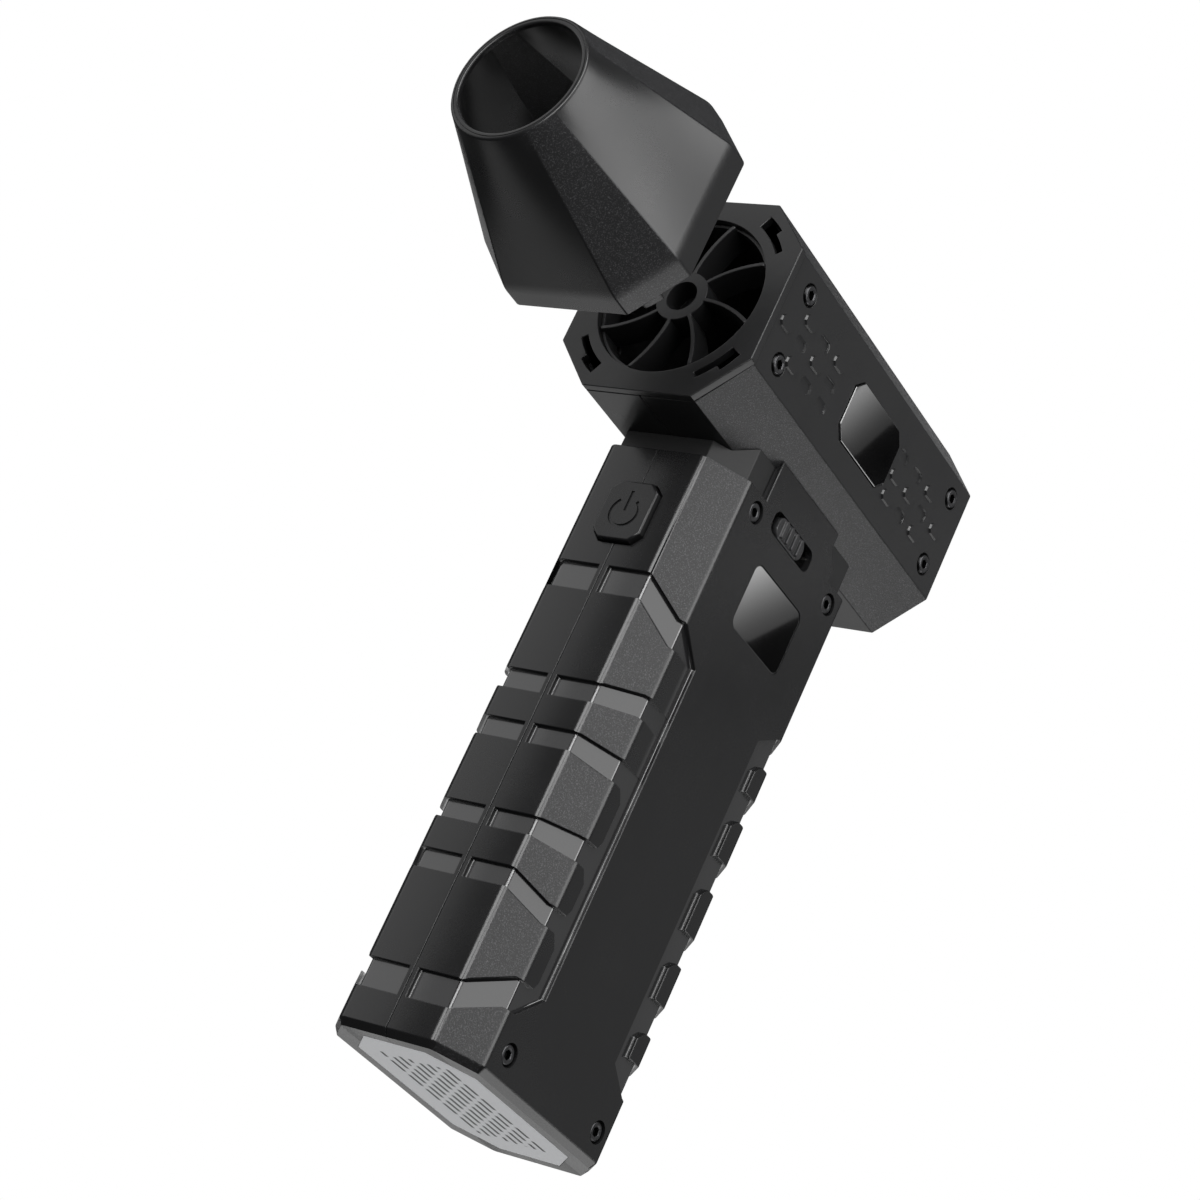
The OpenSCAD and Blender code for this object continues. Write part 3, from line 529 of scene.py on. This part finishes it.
def lofted(rings):
    """A solid through rings of points, closed at both ends."""
    form = bmesh.new()
    loops = skin(form, rings)
    form.faces.new(loops[0])
    form.faces.new(reversed(loops[-1]))
    bmesh.ops.recalc_face_normals(form, faces=form.faces)
    return form


def join(form, other):
    """Adds other to form as a body of its own."""
    mesh = as_mesh("part", other)
    form.from_mesh(mesh)
    bpy.data.meshes.remove(mesh)


def lathe(profile, steps=64):
    """Turns a closed profile of (radius, y) points round the fan axis."""
    form = bmesh.new()
    points = [form.verts.new((r, y, HEAD_Z)) for r, y in profile]
    edges = [form.edges.new((points[k], points[(k + 1) % len(points)]))
             for k in range(len(points))]
    bmesh.ops.spin(form, geom=points + edges, cent=(0, 0, HEAD_Z), axis=(0, 1, 0),
                   dvec=(0, 0, 0), angle=2 * pi, steps=steps, use_merge=True,
                   use_duplicate=False)
    bmesh.ops.remove_doubles(form, verts=form.verts, dist=0.0005 * MM)
    loose = [edge for edge in form.edges if not edge.link_faces]
    bmesh.ops.delete(form, geom=loose, context="EDGES")
    bmesh.ops.recalc_face_normals(form, faces=form.faces)
    return form


def arc(inner, outer, ends, y0, y1, centre=HEAD_Z, steps=6):
    """A curved block between two radii, from one angle to the other, about an axis along Y."""
    start, stop = radians(ends[0]), radians(ends[1])
    form = bmesh.new()
    corners = [form.verts.new((cos(start) * r, y, centre + sin(start) * r))
               for r, y in ((inner, y0), (outer, y0), (outer, y1), (inner, y1))]
    end = form.faces.new(corners)
    bmesh.ops.spin(form, geom=[*corners, *end.edges, end], cent=(0, 0, centre), axis=(0, -1, 0),
                   dvec=(0, 0, 0), angle=stop - start, steps=steps, use_duplicate=False)
    bmesh.ops.recalc_face_normals(form, faces=form.faces)
    return form


def cut_corner_plate(centre, size, cut, x0, x1, grow):
    """A cut-corner plate facing X. Its outline at x1 is grow larger all round than at x0."""
    rings = []
    for x, more in ((x0, 0.0), (x1, grow)):
        u, v = size[0] / 2 + more, size[1] / 2 + more
        c = cut + more * TIGHTER_CUT
        outline = ((u, v - c), (u - c, v), (c - u, v), (-u, v - c), (-u, c - v), (c - u, -v),
                   (u - c, -v), (u, c - v))
        rings.append([(x, centre[0] + along, centre[1] + up) for along, up in outline])
    return lofted(rings)


def dress(finish, *nodes):
    """Gives CAD nodes that stay a finish."""
    for node in nodes:
        mesh = NODES[node].data
        mesh.materials.clear()
        mesh.materials.append(finish)


# ---------------------------------------------------------------- outer edges of the casings

def inside_octagon(u, v, half_u, half_v, cut_u, cut_v):
    """How deep a point lies inside an octagon, given as half sizes and corner cuts."""
    slant = (cut_u * cut_v - (cut_v * (u - half_u + cut_u) + cut_u * (v - half_v + cut_v)))
    return min(half_u - u, half_v - v, slant / hypot(cut_u, cut_v))


def on_handle_skin(point):
    """Whether an edge is on the handle's outside or at one of its ends."""
    depth = inside_octagon(abs(point.x), abs(point.y), HANDLE_X, HANDLE_Y, CORNER_X, CORNER_Y)
    return min(depth, point.z, abs(point.z - HANDLE_TOP)) < SKIN


def on_head_skin(point):
    """Whether an edge is on the head's outside."""
    depth = inside_octagon(abs(point.x), abs(point.z - HEAD_Z), HEAD_HALF, HEAD_HALF, HEAD_CUT,
                           HEAD_CUT)
    return depth < SKIN


# ---------------------------------------------------------------- camera, light and floor

LENS = 96.09
CAMERA_PLACE = (0.4011, -0.5221, -0.1371)
CAMERA_TURN = (112.829, -23.392, 29.674)
SURROUND = 0.045
STUDIO_MIDDLE = Vector((0, -0.02, 0.10))
LIGHT_DISTANCE = 0.9

# name, azimuth, elevation, width and height in degrees, brightness
LIGHTS = (
    ("front_softbox", -58, 25, 50, 70, 0.78),
    ("front_edge_strip", 16, 20, 24, 60, 7.5),
    ("corner_softbox", 62, 20, 34, 50, 1.75),
    ("side_edge_strip", 94, 20, 22, 60, 4.5),
    ("side_softbox", 145, 22, 36, 50, 0.22),
    ("back_softbox", -142, 19, 40, 40, 0.8),
    ("under_softbox", 157, -37, 36, 30, 2.2),
    ("under_edge_strip", 139, -11, 20, 8, 2.0),
    ("base_softbox", -141, -22, 36, 24, 0.6),
    ("low_softbox", -131, -44, 40, 26, 0.42),
)

# name, start of the edge between the halves, its run, the way the light grows, brightness
WINDOW_CARDS = (
    ("display_card", (0.1889, 0.2275, 0.2241), (-0.0133, 0.0028, 0.0140), (-0.001, -0.012, 0.024),
     2.0),
    ("badge_card", (0.1865, 0.2235, 0.2949), (-0.0087, -0.0003, 0.0112), (-0.001, -0.012, 0.021),
     1.2),
)


def camera():
    """Long lens, low at the front right of the blower."""
    lens = bpy.data.cameras.new("camera")
    lens.lens = LENS
    lens.clip_start = 0.01
    holder = in_scene("camera", lens)
    holder.location = CAMERA_PLACE
    holder.rotation_euler = Euler([radians(turn) for turn in CAMERA_TURN])
    bpy.context.scene.camera = holder


def direction(azimuth, elevation):
    """A unit vector, azimuth degrees round from -Y towards +X and elevation degrees up."""
    turn, rise = radians(azimuth), radians(elevation)
    return Vector((sin(turn) * cos(rise), -cos(turn) * cos(rise), sin(rise)))


def softbox(name, azimuth, elevation, wide, high, brightness):
    """A soft light that fills wide by high degrees of the surround, facing the blower."""
    light = bpy.data.lights.new(name, "AREA")
    light.shape = "RECTANGLE"
    light.size = 2 * LIGHT_DISTANCE * tan(radians(wide / 2))
    light.size_y = 2 * LIGHT_DISTANCE * tan(radians(high / 2))
    light.energy = brightness * pi * light.size * light.size_y
    holder = in_scene(name, light)
    way = direction(azimuth, elevation)
    holder.location = STUDIO_MIDDLE + way * LIGHT_DISTANCE
    holder.rotation_euler = way.to_track_quat("Z", "Y").to_euler()


def studio():
    """White backdrop, a dim surround, and a softbox or strip for each broad face or edge."""
    world = bpy.data.worlds.new("studio")
    world.use_nodes = True
    nodes = Nodes(world.node_tree)
    around = nodes.tree.nodes["Background"]
    nodes.plug(around.inputs["Color"], (0.96, 0.98, 1.0, 1))
    nodes.plug(around.inputs["Strength"], SURROUND)
    dim = Wire(nodes, around.outputs[0])
    white = nodes.add("ShaderNodeBackground", {}, {"Color": (1, 1, 1, 1)})
    seen = nodes.add("ShaderNodeLightPath", output="Is Camera Ray")
    mixed = nodes.add("ShaderNodeMixShader", {}, {0: seen, 1: dim, 2: white})
    nodes.plug(nodes.tree.nodes["World Output"].inputs["Surface"], mixed)
    bpy.context.scene.world = world
    bpy.context.scene.view_settings.view_transform = "Standard"
    for light in LIGHTS:
        softbox(*light)
    for card in WINDOW_CARDS:
        window_card(*card)


def window_card(name, corner, along, across, brightness):
    """A small card, half lit and half black, that the glossy window beside it mirrors.

    The edge between the halves starts at corner and runs along; the light grows across it.
    """
    form = bmesh.new()
    start, side, far = Vector(corner), Vector(along), Vector(across)
    form.faces.new([form.verts.new(place) for place in
                    (start - side - far, start + side * 2 - far, start + side * 2 + far,
                     start - side + far)])
    finish = Finish(name, Base_Color=(0, 0, 0, 1), Emission_Strength=brightness, Roughness=1.0,
                    Specular_IOR_Level=0.0)
    x, y, z = finish.parts(finish.place())
    step = far - side * (far.dot(side) / side.length_squared)
    step = step / step.length_squared
    share = (x - start.x) * step.x + (y - start.y) * step.y + (z - start.z) * step.z
    glow = (share * share * 0.85 + 0.10) * share.over(0.0, 0.01)
    finish.feed("Emission Color", finish.blend(glow, grey(0.0), grey(1.0, 1.0)))
    card = in_scene(name, as_mesh(name, form))
    card.data.materials.append(finish.material)
    card.visible_camera = False
    card.visible_diffuse = False
    card.visible_shadow = False


def floor():
    """Pale floor under the foot, which shows only from above."""
    form = bmesh.new()
    bmesh.ops.create_grid(form, x_segments=1, y_segments=1, size=3.0)
    bmesh.ops.translate(form, verts=form.verts, vec=(0, 0, -0.5 * MM))
    finish = Finish("floor_paper", Roughness=0.85, Emission_Color=(1, 1, 1, 1),
                    Emission_Strength=0.58)
    finish.feed("Base Color", finish.blend(finish.speckle(60 * MM), grey(0.22, 1.0),
                                           grey(0.26, 1.0)))
    clear = finish.add("ShaderNodeBsdfTransparent")
    back = finish.add("ShaderNodeNewGeometry", output="Backfacing")
    shader = Wire(finish, finish.shader.outputs[0])
    mixed = finish.add("ShaderNodeMixShader", {}, {0: back, 1: shader, 2: clear})
    finish.plug(finish.tree.nodes["Material Output"].inputs["Surface"], mixed)
    ground = in_scene("floor", as_mesh("floor", form))
    ground.data.materials.append(finish.material)
    ground.visible_shadow = False
    ground.visible_glossy = False
    ground.visible_diffuse = False


# ---------------------------------------------------------------- handle

def handle_shells():
    """The two halves of the casing, with their grip blocks and grooves."""
    for side in ("right", "left"):
        moulding(f"handle_{side}", f"handle_shell_{side}", HANDLE_SATIN, "housing",
                 0.24 * MM, merge=0.01 * MM, chosen=on_handle_skin,
                 room=0.40 * MM, split=False)


def power_button():
    """Cut-corner button with a power mark pressed into its face."""
    low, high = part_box("power_button")
    face = low.y
    middle = (low.z + high.z) / 2 - 0.5 * MM
    depth, ring, stroke = 0.32 * MM, 3.5 * MM, 0.75 * MM
    mark = arc(ring - stroke / 2, ring + stroke / 2, (90 + 37, 90 + 360 - 37), face - depth,
               face + depth, middle, 44)
    bar = bmesh.new()
    bmesh.ops.create_cube(bar, size=1)
    bmesh.ops.scale(bar, verts=bar.verts, vec=(stroke, depth * 2, 5.0 * MM))
    bmesh.ops.translate(bar, verts=bar.verts, vec=(0, face, middle + 2.8 * MM))
    join(mark, bar)
    form = node_copy("power_button")
    round_edges(form, 0.45 * MM, 3, 40, lambda point: point.y < face + 0.1 * MM)
    form = carved(form, mark)
    piece("power_button_cap", form, BUTTON_SATIN, "button", "power_button")


def controls():
    """What the hand works and reads on the handle."""
    power_button()
    moulding("slider_knob", "speed_slider", KNOB_SATIN, "slider", 0.22 * MM)
    moulding("display_window", "display_lens", WINDOW_GLOSS, "housing", 0.25 * MM)


# ---------------------------------------------------------------- head

# column from the front and row from below of each mark in a cluster
FRONT_RAISED = ((0, 1), (1, 2), (1, 0), (2, 1), (3, 2))
FRONT_SUNK = ((1, 1), (2, 2), (2, 0), (3, 1), (3, 0))
REAR_RAISED = ((0, 1), (1, 1), (2, 2), (0, 0), (2, 0), (3, 1))
REAR_SUNK = ((0, 2), (1, 2), (1, 0), (2, 1))
FRONT_MARKS_Y = -42.6 * MM
REAR_MARKS_Y = 17.0 * MM
LOW_MARKS_Z = HEAD_Z - 6.4 * MM
MARK_PITCH = (7.65 * MM, 5.45 * MM)
MARK_SIZE = (4.5 * MM, 2.5 * MM)
MARK_CUT = 0.75 * MM


def marks(front, rear, x0, x1, spread):
    """Cut-corner plates at the places of two clusters, spread wider at x1 than at x0."""
    form = bmesh.new()
    for first, cluster in ((FRONT_MARKS_Y, front), (REAR_MARKS_Y, rear)):
        for column, row in cluster:
            place = (first + column * MARK_PITCH[0], LOW_MARKS_Z + row * MARK_PITCH[1])
            join(form, cut_corner_plate(place, MARK_SIZE, MARK_CUT, x0, x1, spread))
    return form


def head_shells():
    """Octagonal head with two clusters of raised and sunk cut-corner marks on each side."""
    face = HEAD_HALF - MARK_RISE
    for side, way in (("right", 1), ("left", -1)):
        form = node_copy(f"head_shell_{side}")
        for vert in form.verts:
            if abs(vert.co.x) > HEAD_HALF - 0.01 * MM:
                vert.co.x = way * face
        round_edges(form, 0.28 * MM, chosen=on_head_skin)
        form = carved(form, marks(FRONT_SUNK, REAR_SUNK, way * (face - 0.5 * MM),
                                  way * (HEAD_HALF - 0.05 * MM), 0.46 * MM))
        join(form, marks(FRONT_RAISED, REAR_RAISED, way * (HEAD_HALF - 0.02 * MM),
                         way * (face - 0.05 * MM), 0.24 * MM))
        piece(f"head_{side}", form, HEAD_SATIN, "housing", f"head_shell_{side}")


def head_trim():
    """What closes the head at its front, back and side."""
    moulding("bezel", "front_bezel", BEZEL_SATIN, "housing", 0.22 * MM)
    moulding("guide_vanes", "outlet_guide", GUIDE_SATIN, "housing", 0.12 * MM, 1)
    moulding("inlet_grille", "rear_grille", BEZEL_SATIN, "housing", 0.15 * MM, 1)
    moulding("badge_window", "badge_lens", WINDOW_GLOSS, "housing", 0.2 * MM)


# ---------------------------------------------------------------- nozzle

COLLAR = 6.1 * MM  # the straight octagon behind the cone
MOUTH_R = 15.6 * MM
MOUTH_TURN = 32.7  # how far the wide faces reach round the mouth to each side of their middle
BORE_R = MOUTH_R - 1.7 * MM
LAND = 1.1 * MM  # the straight ring inside the mouth
TONGUE = 5 * MM  # how far the bayonet tongues reach behind the collar
TONGUE_R = 22.7 * MM

# the rounded rim of the mouth: millimetres in from the outside and back from the front
MOUTH_RIM = ((0.02, 0.30), (0.14, 0.14), (0.32, 0.04), (0.50, 0), (0.62, 0), (0.68, 0.16),
             (0.80, 0.16), (0.86, 0), (1.25, 0), (1.45, 0.05), (1.62, 0.20), (1.70, 0.45))


def octagon_points(half, cut, soft):
    """Points round an octagon with softened corners, each with its angle on the round mouth."""
    flat = half - cut
    corners = [(half, -flat), (half, flat), (flat, half), (-flat, half), (-half, flat),
               (-half, -flat), (-flat, -half), (flat, -half)]
    corners = [Vector(corner) for corner in corners]
    turns = [90 * (k // 2) + (MOUTH_TURN if k % 2 else -MOUTH_TURN) for k in range(10)]
    points = []
    for k in range(8):
        here, there, after = corners[k], corners[(k + 1) % 8], corners[(k + 2) % 8]
        start, stop, next_stop = [radians(turn) for turn in turns[k:k + 3]]
        share = soft / (there - here).length
        steps = 6 if k % 2 else 14
        for j in range(steps + 1):
            along = share + (1 - 2 * share) * j / steps
            points.append((here.lerp(there, along), start + (stop - start) * along))
        next_share = soft / (after - there).length
        one = there + (here - there) * share
        two = there + (after - there) * next_share
        for j in (1, 2, 3):
            t = j / 4
            bend = one * (1 - t) ** 2 + there * 2 * t * (1 - t) + two * t * t
            back = stop - (stop - start) * share * (1 - t)
            points.append((bend, back + (next_stop - stop) * next_share * t))
    return points


def soft_start(depth, start, stop, soft):
    """0 up to start and 1 at stop, straight between, with the bend softened over soft."""
    run = depth - start + soft / 2
    if run <= 0:
        return 0.0
    rise = run * run / (2 * soft) if run < soft else run - soft / 2
    return rise / (stop - start)


def nozzle_ring(points, y, share=0.0, radius=MOUTH_R, inset=0.0):
    """The octagon's points at y, moved by share towards a circle of radius."""
    ring = []
    for point, turn in points:
        flat = point * (1 - inset / HEAD_HALF)
        place = flat.lerp(Vector((cos(turn), sin(turn))) * radius, share)
        ring.append(Vector((place.x, y, HEAD_Z + place.y)))
    return ring


def nozzle_outside(back, front):
    """Rings from the back edge over the collar and the cone to the mouth."""
    points = octagon_points(HEAD_HALF, HEAD_CUT, 0.45 * MM)
    rings = [nozzle_ring(points, back, inset=0.35 * MM),
             nozzle_ring(points, back - 0.12 * MM, inset=0.1 * MM)]
    length, soft = back - front, 3.2 * MM
    cone = COLLAR + soft / 2
    depths = [0.4 * MM, COLLAR - soft / 2]
    depths += [COLLAR + soft * (j / 8 - 0.5) for j in range(1, 9)]
    depths += [cone + (length - 0.5 * MM - cone) * j / 14 for j in range(1, 15)]
    for depth in depths:
        share = soft_start(depth, COLLAR, length, soft)
        rings.append(nozzle_ring(points, back - depth, share))
    for inset, rise in MOUTH_RIM:
        rings.append(nozzle_ring(points, front + rise * MM, 1.0, MOUTH_R - inset * MM))
    rings.append(nozzle_ring(points, front + LAND, 1.0, BORE_R))
    return rings


def nozzle_inside(back, front):
    """Rings from behind the mouth's land to the back edge, faceted like the outside."""
    wall = 1.9 * MM
    points = octagon_points(HEAD_HALF - wall, HEAD_CUT - wall * TIGHTER_CUT, 0.3 * MM)
    rings = []
    reach = back - front - LAND
    for j in range(12):
        depth = reach - 0.15 * MM - (reach - COLLAR - 0.5 * MM) * j / 11
        share = max(0.0, (depth - COLLAR - 0.4 * MM) / (reach - COLLAR - 0.2 * MM))
        rings.append(nozzle_ring(points, back - depth, share, BORE_R - 0.05 * MM))
    rings.append(nozzle_ring(points, back - 0.3 * MM))
    rings.append(nozzle_ring(points, back, inset=-0.25 * MM))
    return rings


def nozzle_cap():
    """Octagonal collar that fades into a round mouth, with four tongues on webs."""
    low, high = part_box("nozzle")
    back = high.y - TONGUE
    form = bmesh.new()
    skin(form, nozzle_outside(back, low.y) + nozzle_inside(back, low.y), closed=True)
    wall_middle = (2 * HEAD_HALF - HEAD_CUT) / 2 ** 0.5 - 0.6 * MM
    for first in (34, 124, 214, 304):
        tongue = arc(TONGUE_R, TONGUE_R + 1.3 * MM, (first, first + 11), back + TONGUE,
                     back - 1.9 * MM)
        join(form, round_edges(tongue, 0.28 * MM, 3, 60))
        web = arc(TONGUE_R + 0.2 * MM, wall_middle, (first + 0.2, first + 10.8),
                  back - 0.02 * MM, back - 1.95 * MM)
        join(form, round_edges(web, 0.1 * MM, 1, 60))
    bmesh.ops.recalc_face_normals(form, faces=form.faces)
    piece("nozzle_cap", form, NOZZLE_SATIN, "nozzle_body", "nozzle", 40)


# ---------------------------------------------------------------- fan

HUB_R = 9.6 * MM
SHAFT_R = 1.51 * MM
BLADES = 9


def blade(start, tip, middle, reach):
    """A cambered blade that twists more steeply towards its tip."""
    root = HUB_R - 0.6 * MM
    rings = []
    for j in range(8):
        share = j / 7
        radius = root + (tip - 0.03 * MM - root) * share
        pitch = tan(radians(34 + 12 * share))
        thick = (1.15 - 0.45 * share) * MM
        ring = []
        for k in range(18):
            around = 2 * pi * k / 18
            along = cos(around)
            bow = 0.9 * MM * (1 - along * along)
            across = along * reach * pitch + bow + sin(around) * thick / 2
            turn = start - across / radius
            ring.append(Vector((cos(turn) * radius, middle + along * reach,
                                HEAD_Z + sin(turn) * radius)))
        rings.append(ring)
    return lofted(rings)


def impeller():
    """Recessed hub with twisted blades."""
    low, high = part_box("impeller")
    front, back = low.y, high.y
    recess, lip, soft = front + 3 * MM, HUB_R - 3 * MM, 0.3 * MM
    form = lathe([(SHAFT_R, recess), (lip, recess), (lip, front), (HUB_R - soft, front),
                  (HUB_R, front + soft), (HUB_R, back - soft), (HUB_R - soft, back),
                  (SHAFT_R, back)])
    for k in range(BLADES):
        join(form, blade(2 * pi * k / BLADES, high.x, (front + back) / 2,
                         (back - front) / 2 - 0.1 * MM))
    piece("fan", form, FAN_NYLON, "rotor", "impeller")


def spinner():
    """Domed cap behind the hub, bored for the shaft's end."""
    low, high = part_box("spinner")
    rim, bore = low.y + 0.5 * MM, SHAFT_R + 0.01 * MM
    dome = [(HUB_R * cos(radians(rise)), rim + (high.y - rim) * sin(radians(rise)))
            for rise in range(0, 90, 6)]
    inside = [(0.0, high.y), (0.0, low.y + 2.2 * MM), (bore, low.y + 2.2 * MM), (bore, low.y),
              (HUB_R - 0.25 * MM, low.y), (HUB_R, low.y + 0.25 * MM)]
    piece("spinner_dome", lathe(dome + inside), FAN_NYLON, "rotor", "spinner")


# ---------------------------------------------------------------- screws

# radius, depth under the outer face in millimetres or the end it reaches, and outline
SCREW_PROFILE = (
    (0.3, 1.22, "round"), (1.02, 1.08, "hex"), (1.15, 0.16, "hex"), (1.42, 0.0, "round"),
    (1.78, 0.0, "round"), (1.98, 0.06, "round"), (2.12, 0.20, "round"), (2.18, 0.42, "round"),
    (2.35, 0.60, "knurl"), (2.35, "head", "knurl"), (1.25, "head", "round"),
    (1.25, "tip", "round"), (0.4, "tip", "round"))
HEAD_SPREAD = 6 * MM
KNURL = 0.06
HEX_TURN = 0.3


def screw_places(node, face):
    """The side each screw faces and the middle of its head, from the CAD node's end faces."""
    places = {}
    for vert in NODES[node].data.vertices:
        x, y, z = vert.co
        if abs(abs(x) - face) < 0.01 * MM:
            near = [key for key in places if abs(key[1] - y) < HEAD_SPREAD
                    and abs(key[2] - z) < HEAD_SPREAD and key[0] * x > 0]
            key = near[0] if near else (1 if x > 0 else -1, y, z)
            places.setdefault(key, []).append((y, z))
    for key, found in places.items():
        ys, zs = zip(*found)
        yield key[0], (min(ys) + max(ys)) / 2, (min(zs) + max(zs)) / 2


def screw(way, y, z, face, ends):
    """Rounded, knurled head with a hexagonal socket, and a plain shank. ends are depths."""
    rings = []
    for radius, depth, outline in SCREW_PROFILE:
        x = way * (face - ends.get(depth, depth) * MM)
        ring = []
        for k in range(48):
            turn = 2 * pi * k / 48
            r = radius
            if outline == "hex":
                r = radius * cos(pi / 6) / cos((turn + HEX_TURN) % (pi / 3) - pi / 6)
            elif outline == "knurl" and k % 2:
                r = radius - KNURL
            ring.append(Vector((x, y + cos(turn) * r * MM, z + sin(turn) * r * MM)))
        rings.append(ring)
    return lofted(rings)


def screws(name, node, ends):
    """All the screws of one CAD node, along X."""
    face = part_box(node)[1].x
    form = bmesh.new()
    for way, y, z in screw_places(node, face):
        join(form, screw(way, y, z, face, ends))
    piece(name, form, SCREW_OXIDE_PAINTED_SHADE, "housing", node)


def fasteners():
    """The casing's screws, whose shanks cross it, and the head's shorter ones."""
    low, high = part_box("handle_screws")
    screws("casing_screws", "handle_screws", {"head": 2.0, "tip": (high.x - low.x) / MM})
    screws("head_cap_screws", "head_screws", {"head": 1.35, "tip": 5.0})


# ---------------------------------------------------------------- what stays as the CAD has it

def inner_parts():
    """The label, the neck and everything inside, in their own finishes."""
    dress(LABEL_FOIL, "base_label")
    dress(NECK_MATT, "neck_collar")
    dress(DUCT_MATT, "duct_tube", "motor_mount")
    dress(MOTOR_ALUMINIUM, "motor_case", "motor_end_cap")
    dress(LAMINATION_STEEL, "stator_core")
    dress(WINDING_COPPER, "motor_windings")
    dress(BEARING_STEEL, "front_bearing", "rear_bearing", "motor_shaft")
    dress(MAGNET_NICKEL, "rotor_magnet")
    dress(BOARD_MASK, "main_board", "charge_board", "button_board")
    dress(CHIP_EPOXY, "motor_driver", "button_switch", "display_module")
    dress(CELL_WRAP, "cell_front", "cell_middle", "cell_rear")
    dress(FRAME_GREY, "cell_tray", "cell_cap", "switch_plunger")
    dress(STRIP_NICKEL, "cell_links", "charge_socket", "slider_switch")
    dress(LEAD_RED, "motor_leads")
    dress(LEAD_BLACK, "battery_leads")


camera()
studio()
floor()
handle_shells()
controls()
head_shells()
head_trim()
nozzle_cap()
impeller()
spinner()
fasteners()
inner_parts()
